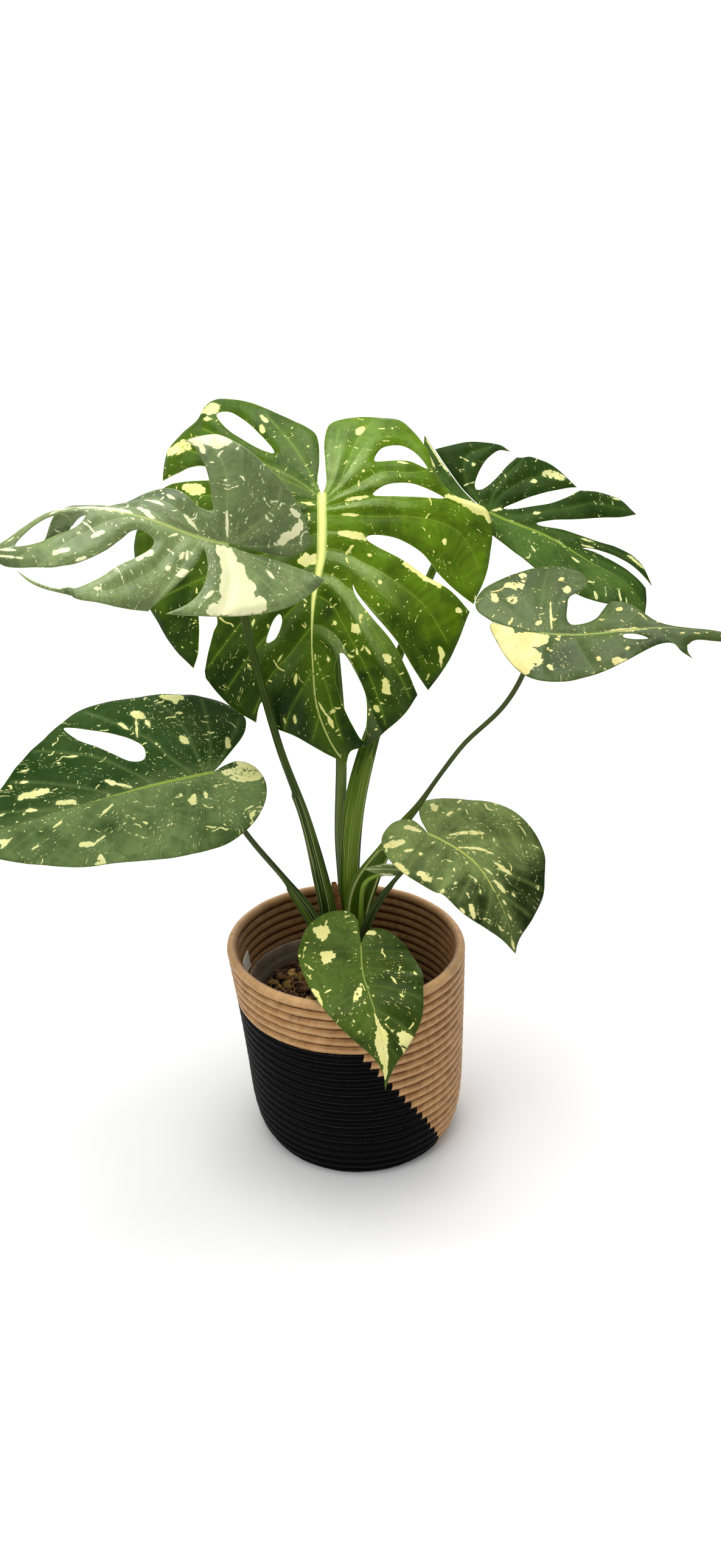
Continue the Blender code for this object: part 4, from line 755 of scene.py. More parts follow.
def natural_spline(knots, values):
    """A natural cubic through the values at the knots, straight on past both ends."""
    knots = np.asarray(knots, float)
    values = np.asarray(values, float).reshape(len(knots), -1)
    count = len(knots)
    steps = np.diff(knots)
    matrix = np.eye(count)
    right = np.zeros_like(values)
    for i in range(1, count - 1):
        matrix[i, i - 1 : i + 2] = steps[i - 1], 2 * (steps[i - 1] + steps[i]), steps[i]
        right[i] = 3 * ((values[i + 1] - values[i]) / steps[i] - (values[i] - values[i - 1]) / steps[i - 1])
    bend = np.linalg.solve(matrix, right)
    slope = np.diff(values, axis=0) / steps[:, None] - steps[:, None] * (2 * bend[:-1] + bend[1:]) / 3
    twist = np.diff(bend, axis=0) / (3 * steps[:, None])
    last = slope[-1] + 2 * bend[-2] * steps[-1] + 3 * twist[-1] * steps[-1] ** 2

    def at(where):
        where = np.atleast_1d(np.asarray(where, float))
        i = np.clip(np.searchsorted(knots, where) - 1, 0, count - 2)
        t = (where - knots[i])[:, None]
        between = values[i] + slope[i] * t + bend[i] * t**2 + twist[i] * t**3
        before = values[0] + slope[0] * (where - knots[0])[:, None]
        after = values[-1] + last * (where - knots[-1])[:, None]
        between = np.where((where < knots[0])[:, None], before, between)
        return np.where((where > knots[-1])[:, None], after, between)

    return at


def make_mesh(name, points, faces, finishes, choice=None, values=None):
    """A smooth mesh object from arrays, with a finish per face and named values per point."""
    mesh = bpy.data.meshes.new(name)
    mesh.from_pydata(np.asarray(points).tolist(), [], faces if isinstance(faces, list) else faces.tolist())
    mesh.shade_smooth()
    for finish in finishes:
        mesh.materials.append(finish)
    if choice is not None:
        mesh.polygons.foreach_set("material_index", np.asarray(choice, np.int32))
    for key, value in (values or {}).items():
        value = np.asarray(value, np.float32)
        flat = value.ndim == 1
        layer = mesh.attributes.new(key, "FLOAT" if flat else "FLOAT_VECTOR", "POINT")
        layer.data.foreach_set("value" if flat else "vector", value.ravel())
    obj = bpy.data.objects.new(name, mesh)
    bpy.context.scene.collection.objects.link(obj)
    return obj


def place(obj, slot, *nodes):
    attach(obj, "root")
    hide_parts(*nodes)


def ring_faces(rings, sides, looped=False, flipped=False):
    """Quads between closed rings of points; looped also joins the last ring to the first."""
    i = np.arange(rings if looped else rings - 1)[:, None]
    j = np.arange(sides)[None, :]
    next_i = (i + 1) % rings
    next_j = (j + 1) % sides
    faces = np.stack([
        i * sides + j, next_i * sides + j, next_i * sides + next_j, i * sides + next_j,
    ], axis=-1).reshape(-1, 4)
    return faces[:, [0, 3, 2, 1]] if flipped else faces


def tube_faces(rings, sides, flipped=False):
    """The quads of a tube and its two end faces."""
    first = list(range(sides))
    last = [(rings - 1) * sides + j for j in first]
    ends = [first[::-1], last] if flipped else [first, last[::-1]]
    return ring_faces(rings, sides, flipped=flipped).tolist() + ends


def leaf_frame(letter):
    """Functions of the distance along the midrib: the frame there, the droop and the curl."""
    along, points, ways, droops, curls = zip(*((*row, *PLAIN_HALVES)[:5] for row in STATIONS[letter]))
    middle = natural_spline(along, points)
    facing = natural_spline(along, unit(ways))

    def frame(y):
        step = 0.1
        tangent = unit(middle(y + step) - middle(y - step))
        face = facing(y)
        face = unit(face - (face * tangent).sum(axis=1, keepdims=True) * tangent)
        return middle(y), tangent, face, np.cross(tangent, face)

    return frame, natural_spline(along, droops), natural_spline(along, curls)


def leaf_surface(letter):
    """The map from flat leaf coordinates in millimetres to points in space."""
    frame, droop, curl = leaf_frame(letter)

    def at(x, y):
        middle, _, face, across = frame(y)
        half = (x < 0).astype(int)
        rows = np.arange(len(x))
        start = np.radians(droop(y))[rows, half]
        bend = np.radians(curl(y))[rows, half] / 100
        bend = np.where(np.abs(bend) < 1e-7, 1e-7, bend)
        out = np.abs(x)
        side = (np.sin(start + bend * out) - np.sin(start)) / bend
        drop = (np.cos(start) - np.cos(start + bend * out)) / bend
        return middle + across * (np.sign(x) * side)[:, None] - face * drop[:, None]

    return at


def smooth_run(points, step, closed=False):
    """Points about a step apart on a Catmull-Rom curve through the given ones."""
    points = [np.array(point, float) for point in points]
    count = len(points)
    made = []
    for i in range(count if closed else count - 1):
        p1 = points[i]
        p2 = points[(i + 1) % count]
        p0 = points[i - 1] if closed or i else 2 * p1 - p2
        p3 = points[(i + 2) % count] if closed or i < count - 2 else 2 * p2 - p1
        parts = max(1, round(np.linalg.norm(p2 - p1) / step))
        for t in np.arange(parts) / parts:
            made.append(
                0.5 * (2 * p1 + (p2 - p0) * t + (2 * p0 - 5 * p1 + 4 * p2 - p3) * t**2
                       + (3 * p1 - p0 - 3 * p2 + p3) * t**3)
            )
    return made


def thinned(loop, step):
    """Drops points that lie near to the last kept one and hardly turn the outline."""
    kept = [loop[0]]
    for before, point, after in zip(loop, loop[1:], loop[2:] + loop[:1]):
        turn = abs(math.remainder(math.atan2(*(after - point)) - math.atan2(*(point - before)), 2 * math.pi))
        if np.linalg.norm(point - kept[-1]) > step * (0.3 if turn > 0.35 else 0.6):
            kept.append(point)
    return kept


def inside(points, loop):
    """Which points lie inside the loop, by counting crossings."""
    found = np.zeros(len(points), bool)
    for (x1, y1), (x2, y2) in zip(loop, np.roll(loop, -1, axis=0)):
        rows = (y1 > points[:, 1]) != (y2 > points[:, 1])
        rise = y2 - y1 if y2 != y1 else 1e-9
        found[rows] ^= points[rows, 0] < (x2 - x1) * (points[rows, 1] - y1) / rise + x1
    return found


def on_leaf(points, loops):
    """Which points lie inside the leaf's outline and outside its holes."""
    found = inside(points, loops[0])
    for hole in loops[1:]:
        found &= ~inside(points, hole)
    return found


def nearest(points, others):
    """How far each flat point is from the nearest of the others."""
    tree = kdtree.KDTree(len(others))
    for i, (x, y) in enumerate(others):
        tree.insert((x, y, 0), i)
    tree.balance()
    return np.array([tree.find((x, y, 0))[2] for x, y in points])


def apart(points, distance):
    """The points, without those that share a cell of this size with an earlier one."""
    cells = np.round(points / distance).astype(int)
    first = np.unique(cells, axis=0, return_index=True)[1]
    return points[np.sort(first)]


def to_line(points, line):
    """The least distance from each flat point to a polyline, and how far along it that is."""
    best = np.full(len(points), 1e9)
    along = np.zeros(len(points))
    done = 0.0
    for start, end in zip(line, line[1:]):
        start = np.asarray(start, float)
        way = np.asarray(end, float) - start
        length = math.hypot(*way)
        share = np.clip(((points - start) @ way) / max(length**2, 1e-9), 0, 1)
        away = np.linalg.norm(points - start - share[:, None] * way, axis=1)
        nearer = away < best
        best[nearer] = away[nearer]
        along[nearer] = done + share[nearer] * length
        done += length
    return best, along


def strokes(points, given):
    """How deep each point lies in the nearest stroke, below zero outside, and how bold that one is."""
    deep = np.full(len(points), -30.0)
    bold = np.zeros(len(points))
    lobe = np.where(points[:, 1] < 0, np.sign(points[:, 0]), 0)
    for x1, y1, x2, y2, half in given:
        away, along = to_line(points, ((x1, y1), (x2, y2)))
        share = np.abs(2 * along / max(math.hypot(x2 - x1, y2 - y1), 0.5) - 1)
        taper = 1 - (0.75 if half < 2.7 else 0.3) * np.minimum(share, 1) ** 2
        beyond_sinus = ((lobe < 0) & (min(x1, x2) >= 0)) | ((lobe > 0) & (max(x1, x2) <= 0))
        found = np.where(beyond_sinus, deep, half * taper - away)
        bold = np.where(found > deep, half, bold)
        deep = np.maximum(deep, found)
    return deep, bold


def parallel_rows(line, offsets):
    """Points on a smooth line and on lines beside it."""
    middle = np.array(smooth_run(line, INNER_STEP))
    way = unit(np.gradient(middle, axis=0))
    side = np.stack([-way[:, 1], way[:, 0]], axis=1)
    return np.concatenate([middle + side * offset for offset in offsets])


def leaf_lines(letter):
    """The leaf's midrib, straight where it has none of its own, and the side veins of each half."""
    length = STATIONS[letter][-1][0]
    midrib = smooth_run(MIDRIBS.get(letter, ((0, 0), (0, length * 0.5), (0, length * 0.97))), VEIN_STEP)
    halves = [[smooth_run(vein, VEIN_STEP) for vein in half] for half in VEINS[letter]]
    return midrib, halves


def leaf_loops(letter):
    """The leaf's outline and its holes, with points at even steps."""
    loops = [[point for run in OUTLINES[letter] for point in smooth_run(run, EDGE_STEP)]]
    loops += [smooth_run(hole, EDGE_STEP, closed=True) for hole in HOLES.get(letter, ())]
    return [np.array(thinned(loop, EDGE_STEP)) for loop in loops]


def flat_leaf(letter):
    """The leaf's flat points, along its edge, veins and patches too, its triangles and its edge."""
    loops = leaf_loops(letter)
    edge = np.concatenate(loops)

    def within(points, margin):
        points = points[on_leaf(points, loops)]
        return points[nearest(points, edge) > margin]

    midrib, halves = leaf_lines(letter)
    guides = [parallel_rows(midrib, MIDRIB_ROWS)]
    guides += [parallel_rows(vein, VEIN_ROWS) for half in halves for vein in half]
    for x1, y1, x2, y2, _ in PATCHES[letter]:
        guides.append(np.array(smooth_run(((x1, y1), (x2, y2)), PATCH_STEP)))
    guides = within(apart(np.concatenate(guides), GUIDE_GAP), GUIDE_GAP)
    low = loops[0].min(axis=0)
    high = loops[0].max(axis=0)
    rows = np.arange(low[1], high[1], INNER_STEP * math.sqrt(3) / 2)
    grid = np.array([
        (x + (row % 2) * INNER_STEP / 2, y)
        for row, y in enumerate(rows)
        for x in np.arange(low[0], high[0], INNER_STEP)
    ])
    grid = within(grid, GRID_GAP)
    grid = grid[nearest(grid, guides) > GRID_GAP]
    edges = []
    for loop in loops:
        start = len(edges)
        edges += [(start + i, start + (i + 1) % len(loop)) for i in range(len(loop))]
    points = np.concatenate(loops + [guides, grid])
    found = geometry.delaunay_2d_cdt([tuple(point) for point in points], edges, [], 0, 1e-6)
    flat = np.array([tuple(point) for point in found[0]])
    faces = np.array([list(face) for face in found[2]])
    keep = on_leaf(flat[faces].mean(axis=1), loops)
    used, faces = np.unique(faces[keep], return_inverse=True)
    return flat[used], faces.reshape(-1, 3), edge


def ripple(points, size, seed):
    """Soft noise over flat points, about -1 to 1, with bumps of this size."""
    return np.array([noise.noise((x / size, y / size, seed)) for x, y in points]) * 1.6


def leaf_values(letter, flat, edge):
    """What the leaf's shape and finish need at each flat point."""
    midrib, halves = leaf_lines(letter)
    rib, along = to_line(flat, midrib)
    vein = np.full(len(flat), 99.0)
    order = np.zeros(len(flat))
    down = np.zeros(len(flat))
    line = np.array(midrib)
    to_right = flat[:, 0] < np.interp(flat[:, 1], line[:, 1], line[:, 0])
    for half, lines in enumerate(halves):
        mine = to_right == bool(half)
        away, passed = np.array([to_line(flat, line) for line in lines]).transpose(1, 0, 2)
        weight = 1 / (away**2 + 0.05) ** 1.5
        weight /= weight.sum(axis=0)
        order = np.where(mine, (weight * np.arange(len(lines))[:, None]).sum(axis=0), order)
        down = np.where(mine, (weight * passed).sum(axis=0), down)
        vein = np.where(mine, away.min(axis=0), vein)
    patch, bold = strokes(flat, PATCHES[letter])
    side = np.where(to_right, -1, 1) * np.minimum(rib / 8, 1)
    return {
        "flat": np.stack([flat[:, 0], flat[:, 1], np.zeros(len(flat))], axis=1),
        "flow": np.stack([down, order * midrib[-1][1] / len(halves[0]), 40 * side], axis=1),
        "order": order,
        "along": along,
        "rib": rib,
        "vein": vein,
        "margin": nearest(flat, edge),
        "patch": patch,
        "bold": bold,
        "mottle": strokes(flat, MOTTLED[letter])[0],
    }


def blade_layers(letter, flat, values):
    """The blade's upper and lower points, and which way is up at each.

    Its fields are quilted between the veins, its midrib is grooved, and a keel runs below it.
    """
    surface = leaf_surface(letter)
    x, y = flat.T
    middle = surface(x, y)
    step = 0.4
    onward = surface(x, y + step) - surface(x, y - step)
    up = unit(np.cross(onward, surface(x + step, y) - surface(x - step, y)))
    front = leaf_frame(letter)[0](y)[2]
    up *= np.sign((up * front).sum(axis=1, keepdims=True))
    length = STATIONS[letter][-1][0]
    seed = 3.7 * (1 + list(STATIONS).index(letter))
    scale = min(1.0, length / 200)
    rib = values["rib"]
    taper = np.clip(1 - values["along"] / length, 0.12, 1)
    inner = smoothstep(0, 9, values["margin"])
    quilt = 2.1 * scale * (1 - bell(values["vein"] / (7 * scale))) * inner * smoothstep(1, 10, rib)
    groove = -1.1 * taper * bell(rib / (3.4 * taper + 0.8))
    crest = 0.5 * taper * bell(rib / (1.2 * taper + 0.3))
    wave = 1.2 * scale * ripple(flat, 46, seed) + 0.4 * ripple(flat, 17, seed + 9)
    brim = (1 - inner) * (0.8 * scale * ripple(flat, 30, seed + 5) - 0.5)
    height = quilt + groove + crest + wave * smoothstep(0, 12, rib) + brim
    keel = (0.5 + 2.1 * taper * scale) * bell(rib / (0.6 + 2.0 * taper * scale))
    ridge = 0.45 * scale * bell(values["vein"] / 1.3) * smoothstep(0, 4, values["margin"])
    half = BLADE_THICKNESS / MM / 2
    top = middle + up * (height + half)[:, None]
    low = middle + up * (height - half - keel * inner - ridge)[:, None]
    return top, low, up


def blade(letter, finish):
    """A thin closed blade: its upper side, its underside and the wall round its edge."""
    flat, faces, edge = flat_leaf(letter)
    values = leaf_values(letter, flat, edge)
    top, low, up = blade_layers(letter, flat, values)
    corners = top[faces]
    normals = np.cross(corners[:, 1] - corners[:, 0], corners[:, 2] - corners[:, 0])
    if (normals * up[faces[:, 0]]).sum() < 0:
        faces = faces[:, ::-1]
    count = len(flat)
    ends = np.concatenate([faces[:, [0, 1]], faces[:, [1, 2]], faces[:, [2, 0]]])
    key = ends[:, 0] * count + ends[:, 1]
    start, end = ends[~np.isin(key, ends[:, 1] * count + ends[:, 0])].T
    wall = np.concatenate([
        np.stack([end, start, start + count], axis=1),
        np.stack([end, start + count, end + count], axis=1),
    ])
    faces = np.concatenate([faces, faces[:, ::-1] + count, wall])
    doubled = {key: np.concatenate([value, value]) for key, value in values.items()}
    doubled["under"] = np.concatenate([np.zeros(count), np.ones(count)])
    obj = make_mesh("blade_" + letter, np.concatenate([top, low]) * MM, faces, [finish], values=doubled)
    place(obj, "leaf", "leaf_" + letter)


def leaf_seat(letter):
    """Where a stalk ends under its blade, and the way it points there."""
    middle, _, face, _ = leaf_frame(letter)[0](np.array([3.0]))
    depth = SEAT_DEPTH + SEAT_EXTRA.get(letter, 0.0)
    return middle[0] - face[0] * depth / MM, face[0]


def loft(name, route, finish, section, end_facing=None, sides=STALK_SIDES, ring_step=STALK_RING_STEP):
    """A closed tube through rings; section gives each ring's shape from its height and the turn."""
    route = np.array(route, float)
    lengths = np.concatenate([[0], np.cumsum(np.linalg.norm(np.diff(route[:, :3], axis=0), axis=1))])
    curve = natural_spline(lengths, route)
    places = np.linspace(0, lengths[-1], max(12, round(lengths[-1] / ring_step)))
    rings = curve(places)
    tangents = unit(curve(places + 0.1)[:, :3] - curve(places - 0.1)[:, :3])
    tangents[0] = (0, 0, 1)
    if end_facing is not None:
        tangents[-1] = end_facing
    wide = unit(np.cross(tangents, (0, 1, 0.001)))
    deep = np.cross(wide, tangents)
    turns = 2 * math.pi * (np.arange(sides) + 0.5) / sides
    across, back, mark = section(rings[:, 2:3], turns[None, :])
    points = (
        rings[:, None, :3]
        + wide[:, None, :] * (rings[:, 3:4] * across)[:, :, None]
        + deep[:, None, :] * (rings[:, 4:5] * back)[:, :, None]
    )
    shape = (len(places), sides)
    parts = (turns, places[:, None], rings[:, 2:3], mark)
    *stalk, sheath = [np.broadcast_to(part, shape).ravel() for part in parts]
    values = {"stalk": np.stack(stalk, axis=1), "sheath": sheath}
    faces = tube_faces(*shape, flipped=True)
    return make_mesh(name, points.reshape(-1, 3) * MM, faces, [finish], values=values)


def petiole_section(letter):
    """A rounded stalk whose lower part is a channelled sheath with two raised margins."""
    low, high, facing, depth, half, wing, soft, shoulder_turn, shoulder = SHEATHS[letter]

    def section(height, turn):
        share = smoothstep(low, low + 25, height) * (1 - smoothstep(high - soft, high, height))
        away = np.arctan2(np.sin(turn - math.radians(facing)), np.cos(turn - math.radians(facing)))
        channel = 1 - depth * share * bell(away / (half * 0.75))
        margins = wing * share * (bell((away - half) / 0.16) + bell((away + half) / 0.16))
        ribs = 0.012 * np.cos(14 * turn + 0.02 * height)
        out = np.maximum(np.cos(turn - math.radians(shoulder_turn)), 0) ** 2
        lobe = shoulder * share * out * np.exp(-np.maximum(high - height, 0) / 34)
        factor = channel + margins + ribs + lobe
        return factor * np.cos(turn), factor * np.sin(turn), away / half + 9 * (1 - share) * np.sign(away)

    return section


def petiole(letter, finish):
    end, face = leaf_seat(letter)
    half = STALKS[letter][-1][3]
    route = [*STALKS[letter], (*(end - face * half * SEAT_REACH), half, half), (*end, half, half)]
    obj = loft("petiole_" + letter, route, finish, petiole_section(letter), end_facing=face)
    place(obj, "stalk", "stalk_" + letter)


def papery_section(height, turn):
    crumple = 1 + 0.16 * np.sin(3 * turn + height * 0.09) + 0.10 * np.sin(7 * turn - height * 0.16)
    return crumple * np.cos(turn), crumple * np.sin(turn), 9.0 + 0 * turn


def papery_sheath(finish):
    obj = loft("papery_sheath", DRY_SHEATH, finish, papery_section, sides=24, ring_step=2.5)
    place(obj, "dry", "dry_sheath")


def basket_radius(height):
    return natural_spline(*zip(*BASKET_OUTSIDE))(np.atleast_1d(height))[:, 0]


def lean_at(height):
    """How far the basket's middle has moved to the left at a height."""
    return BASKET_LEAN * np.maximum(np.asarray(height, float) / BASKET_HEIGHT, 0) ** LEAN_POWER


def coil(height, radius, half_high, half_deep, order, wrap_width=WRAP_WIDTH):
    """One ring of rope with raffia wrapped round it: points, faces, values and turns of the faces."""
    wraps = max(24, round(2 * math.pi * radius / wrap_width))
    count = wraps * WRAP_PARTS
    rng = np.random.default_rng(500 + order)
    lift = rng.normal(0, 0.00008, wraps)
    tint = rng.uniform(0, 1, wraps)
    turns = around(count)[:, None]
    rounds = around(COIL_SIDES)[None, :]
    cos, sin = np.cos(rounds), np.sin(rounds)
    strip = np.arange(count) // WRAP_PARTS
    part = np.arange(count) % WRAP_PARTS / WRAP_PARTS
    thick = (0.00012 * np.sin(math.pi * part) + lift[strip])[:, None]
    sway = 0.0002 * np.sin(5 * turns + order) + 0.00015 * np.sin(13 * turns + 2.1 * order)
    out = radius - half_deep + (half_deep + thick) * np.sign(cos) * np.abs(cos) ** COIL_ROUNDNESS
    high = height + sway + (half_high + thick) * np.sign(sin) * np.abs(sin) ** COIL_ROUNDNESS
    high = np.maximum(high, 0.0)
    angle = turns + 0.35 * wrap_width / radius * sin
    points = np.stack([out * np.sin(angle) - lean_at(high), -out * np.cos(angle), high], axis=-1)

    def spread(value):
        return np.broadcast_to(value, (count, COIL_SIDES)).ravel()

    wrap = (turns * radius / MM, rounds * half_high / MM, order)
    values = {
        "wrap": np.stack([spread(value) for value in wrap], axis=1),
        "tint": spread(tint[strip][:, None]),
        "inner": spread(smoothstep(0.1, -0.5, cos)),
        # Painted shade goes where this is high, towards the hollows between coils (the top coil's top stays
        # unshaded), and painted light where it is low.
        "groove": spread(np.maximum(-sin, 0 if order == BASKET_COILS - 1 else sin)),
        # Where a thin painted highlight runs along each coil's upper outer side.
        "painted_crest_highlight": spread(bell((rounds - math.radians(55)) / 0.20)),
    }
    faces = ring_faces(count, COIL_SIDES, looped=True)
    face_turn = spread(turns + math.pi / count)
    face_round = spread(rounds + math.pi / COIL_SIDES)
    return points.reshape(-1, 3), faces, values, face_turn, face_round


def joined(parts):
    """Several coils as one set of points, faces and values."""
    starts = np.cumsum([0] + [len(part[0]) for part in parts])
    faces = np.concatenate([part[1] + start for part, start in zip(parts, starts)])
    values = {key: np.concatenate([part[2][key] for part in parts]) for key in parts[0][2]}
    return np.concatenate([part[0] for part in parts]), faces, values


def basket(tan, black):
    """Wrapped coils on a coiled base, tan above and black below on the left."""
    pitch = BASKET_HEIGHT / BASKET_COILS
    groups = {"basket_top_coils": [], "basket_lower_coils": [], "basket_base_coils": []}
    for order in reversed(range(BASKET_COILS)):
        height = (order + 0.5) * pitch
        from_top = BASKET_COILS - 1 - order
        made = coil(height, basket_radius(height)[0], pitch * 0.5, BASKET_WALL / 2, order)
        if from_top < TAN_COILS:
            groups["basket_top_coils"].append((made, np.zeros(len(made[1]), int)))
            continue
        limit = math.sin(BLACK_START + BLACK_STEP * (from_top - TAN_COILS))
        is_black = (np.sin(made[3]) < limit) & (np.cos(made[4]) > BLACK_INWARD)
        groups["basket_lower_coils"].append((made, is_black.astype(int)))
    base_radius = basket_radius(0.004)[0] - 0.008
    for ring in range(BASE_RINGS):
        radius = base_radius - ring * BASE_PITCH
        half_high = BASKET_FLOOR * 0.48
        made = coil(BASKET_FLOOR / 2, radius, half_high, BASE_PITCH * 0.52, 40 + ring, BASE_WRAP_WIDTH)
        groups["basket_base_coils"].append((made, np.ones(len(made[1]), int)))
    for name, group in groups.items():
        points, faces, values = joined([made for made, _ in group])
        is_black = np.concatenate([kind for _, kind in group])
        place(make_mesh(name, points, faces, [tan, black], is_black, values), "basket", "basket")


def pot_radius(height):
    """Outer radius of the nursery pot's wall, below its lip."""
    share = (height - POT_LOW) / (POT_TOP - POT_LOW)
    return POT_BASE_RADIUS + (POT_RIM_RADIUS - POT_LIP_WIDTH - POT_BASE_RADIUS) * share


def nursery_pot(finish):
    """The pot's section as (radius, height), turned about its middle and leaned as the basket leans."""
    lip = POT_TOP - POT_LIP_DROP
    edge = POT_LIP_EDGE
    profile = np.array([
        (0.0005, POT_LOW + POT_WALL),
        (pot_radius(POT_LOW) - POT_WALL - 0.003, POT_LOW + POT_WALL),
        (pot_radius(POT_LOW) - POT_WALL, POT_LOW + POT_WALL + 0.003),
        (pot_radius(lip - 0.007) - POT_WALL, lip - 0.007),
        (pot_radius(lip - 0.006) - POT_WALL + 0.0003, lip - 0.006),
        (pot_radius(lip) - POT_WALL + 0.0022, lip - 0.0008),
        (pot_radius(lip) - POT_WALL + 0.0025, lip + 0.0006),
        (POT_RIM_RADIUS - POT_LIP_WIDTH + 0.001, POT_TOP - edge),
        (POT_RIM_RADIUS - POT_LIP_WIDTH + 0.001 + edge, POT_TOP),
        (POT_RIM_RADIUS - edge, POT_TOP),
        (POT_RIM_RADIUS, POT_TOP - edge),
        (POT_RIM_RADIUS, lip + edge),
        (POT_RIM_RADIUS - edge, lip),
        (pot_radius(lip) + 0.0012, lip - 0.002),
        (pot_radius(lip - 0.008), lip - 0.008),
        (pot_radius(POT_LOW + 0.003), POT_LOW + 0.003),
        (pot_radius(POT_LOW) - 0.003, POT_LOW),
        (0.0005, POT_LOW),
    ])
    turns = around(POT_SIDES)
    radius = profile[:, :1]
    height = np.repeat(profile[:, 1:], len(turns), axis=1)
    points = np.stack([
        POT_CENTRE[0] - lean_at(height) + radius * np.cos(turns),
        POT_CENTRE[1] + radius * np.sin(turns),
        height,
    ], axis=-1).reshape(-1, 3)
    obj = make_mesh("turned_pot", points, ring_faces(len(profile), len(turns)), [finish])
    place(obj, "pot", "nursery_pot")


# The pot's inner radius and its middle, both at the top of the mix, and the mix's own edge there.
POT_INSIDE = pot_radius(SOIL_TOP) - POT_WALL
SOIL_EDGE = POT_INSIDE - SOIL_GAP
SOIL_CENTRE = (POT_CENTRE[0] - float(lean_at(SOIL_TOP)), POT_CENTRE[1])


def soil_height(x, y):
    """The top of the mix at a place, from the pot's own middle."""
    from_stem = math.hypot(x + SOIL_CENTRE[0] - STEM_CENTRE[0], y + SOIL_CENTRE[1] - STEM_CENTRE[1])
    away = min(max((from_stem - 0.034) / 0.02, 0), 1)
    edge_in = min(max((SOIL_EDGE - math.hypot(x, y)) / 0.012, 0), 1)
    wave = math.sin(x * 170 + 1.3) * math.cos(y * 150 - 0.4) + 0.6 * math.sin(x * 310 - y * 270 + 2)
    return SOIL_TOP + SOIL_BUMP * away * edge_in * wave


def soil(finish):
    """The mix itself: a lumpy top, walls down the pot and a flat base."""
    turns = around(SOIL_SIDES)
    points = []
    for radius in SOIL_EDGE * np.minimum((np.arange(SOIL_RINGS) + 0.02) / (SOIL_RINGS - 1), 1):
        for x, y in zip(radius * np.cos(turns), radius * np.sin(turns)):
            grain = noise.noise((x * 260, y * 260, 4.2)) * 0.0022
            grain += noise.noise((x * 700, y * 700, 1.5)) * 0.0010
            z = soil_height(x, y) + grain * min(max((SOIL_EDGE - radius) / 0.004, 0.2), 1)
            points.append((x + SOIL_CENTRE[0], y + SOIL_CENTRE[1], z))
    low = POT_LOW + SOIL_LIFT + POT_WALL
    for radius in (pot_radius(low) - POT_WALL - SOIL_GAP, 0.0005):
        for x, y in zip(radius * np.cos(turns), radius * np.sin(turns)):
            points.append((x + POT_CENTRE[0], y + POT_CENTRE[1], low))
    obj = make_mesh("potting_mix", points, ring_faces(SOIL_RINGS + 2, SOIL_SIDES), [finish])
    place(obj, "soil", "soil")


def near_stem(x, y, margin):
    return math.hypot(x - STEM_CENTRE[0], y - STEM_CENTRE[1]) < STEM_RADIUS + STEM_CLEARING + margin


def round_ball(level):
    """An icosphere's points and triangles, made once and shaped for each lump."""
    shape = bmesh.new()
    bmesh.ops.create_icosphere(shape, subdivisions=level, radius=1.0)
    points = np.array([vertex.co[:] for vertex in shape.verts])
    faces = np.array([[vertex.index for vertex in face.verts] for face in shape.faces])
    shape.free()
    return points, faces


BALL, BALL_FACES = round_ball(2)


def lump(rng, size, squash, jag):
    """The points of one small rough lump."""
    axes = size * np.array([1.0, rng.uniform(0.45, 0.85), squash * rng.uniform(0.7, 1.2)])
    offset = rng.uniform(0, 50)
    rough = np.array([1 + jag * noise.noise(Vector(p) * 1.7 + Vector((offset, 0, 0))) for p in BALL])
    points = BALL * rough[:, None] * axes
    tilt = rng.normal(0, 0.35, 2)
    spin = rng.uniform(0, 2 * math.pi)
    cos, sin = math.cos(spin), math.sin(spin)
    points[:, 2] += points[:, 0] * math.tan(tilt[0]) * 0.6 + points[:, 1] * math.tan(tilt[1]) * 0.6
    return points @ np.array([[cos, sin, 0], [-sin, cos, 0], [0, 0, 1]])


def scattered(name, finish, right=1.0):
    """Many lumps pressed into the top of the mix, as one piece with a tint for each lump."""
    count, seed, sizes, squash, jag, rise = LUMPS[name]
    rng = np.random.default_rng(seed)
    edge = POT_INSIDE - LUMP_GAP
    points = []
    tints = []
    while len(points) < count:
        turn = rng.uniform(0, 2 * math.pi)
        radius = edge * math.sqrt(rng.uniform(0, 1))
        size = rng.uniform(*sizes)
        x = radius * math.cos(turn)
        y = radius * math.sin(turn)
        tint = rng.uniform(0, 1)
        middle = np.array([x + SOIL_CENTRE[0], y + SOIL_CENTRE[1], soil_height(x, y) + size * squash * rise])
        if x >= right or radius > edge - size or near_stem(*middle[:2], size):
            continue
        points.append(lump(rng, size, squash, jag) + middle)
        tints.append(np.full(len(BALL), tint))
    faces = np.concatenate([BALL_FACES + i * len(BALL) for i in range(count)])
    obj = make_mesh(name, np.concatenate(points), faces, [finish], values={"tint": np.concatenate(tints)})
    place(obj, "soil", "soil")


def root_line(rng, edge):
    """The bent middle line of one root that lies in a low arc on the mix."""
    turn = rng.uniform(0, 2 * math.pi)
    out = edge * math.sqrt(rng.uniform(0, 0.95))
    here = np.array([out * math.cos(turn), out * math.sin(turn)])
    heading = rng.uniform(0, 2 * math.pi)
    length = rng.uniform(*ROOT_LENGTHS)
    bend = rng.normal(0, 1.4)
    arch = rng.uniform(0.0005, 0.004)
    line = []
    for step in range(ROOT_STEPS + 1):
        x, y = here
        z = soil_height(x, y) + 0.0016 + arch * math.sin(math.pi * step / ROOT_STEPS)
        line.append((x + SOIL_CENTRE[0], y + SOIL_CENTRE[1], z))
        heading += bend / ROOT_STEPS + rng.normal(0, 0.12)
        here = here + length / ROOT_STEPS * np.array([math.cos(heading), math.sin(heading)])
        distance = np.linalg.norm(here)
        if distance > edge:
            here *= edge / distance
    return np.array(line)


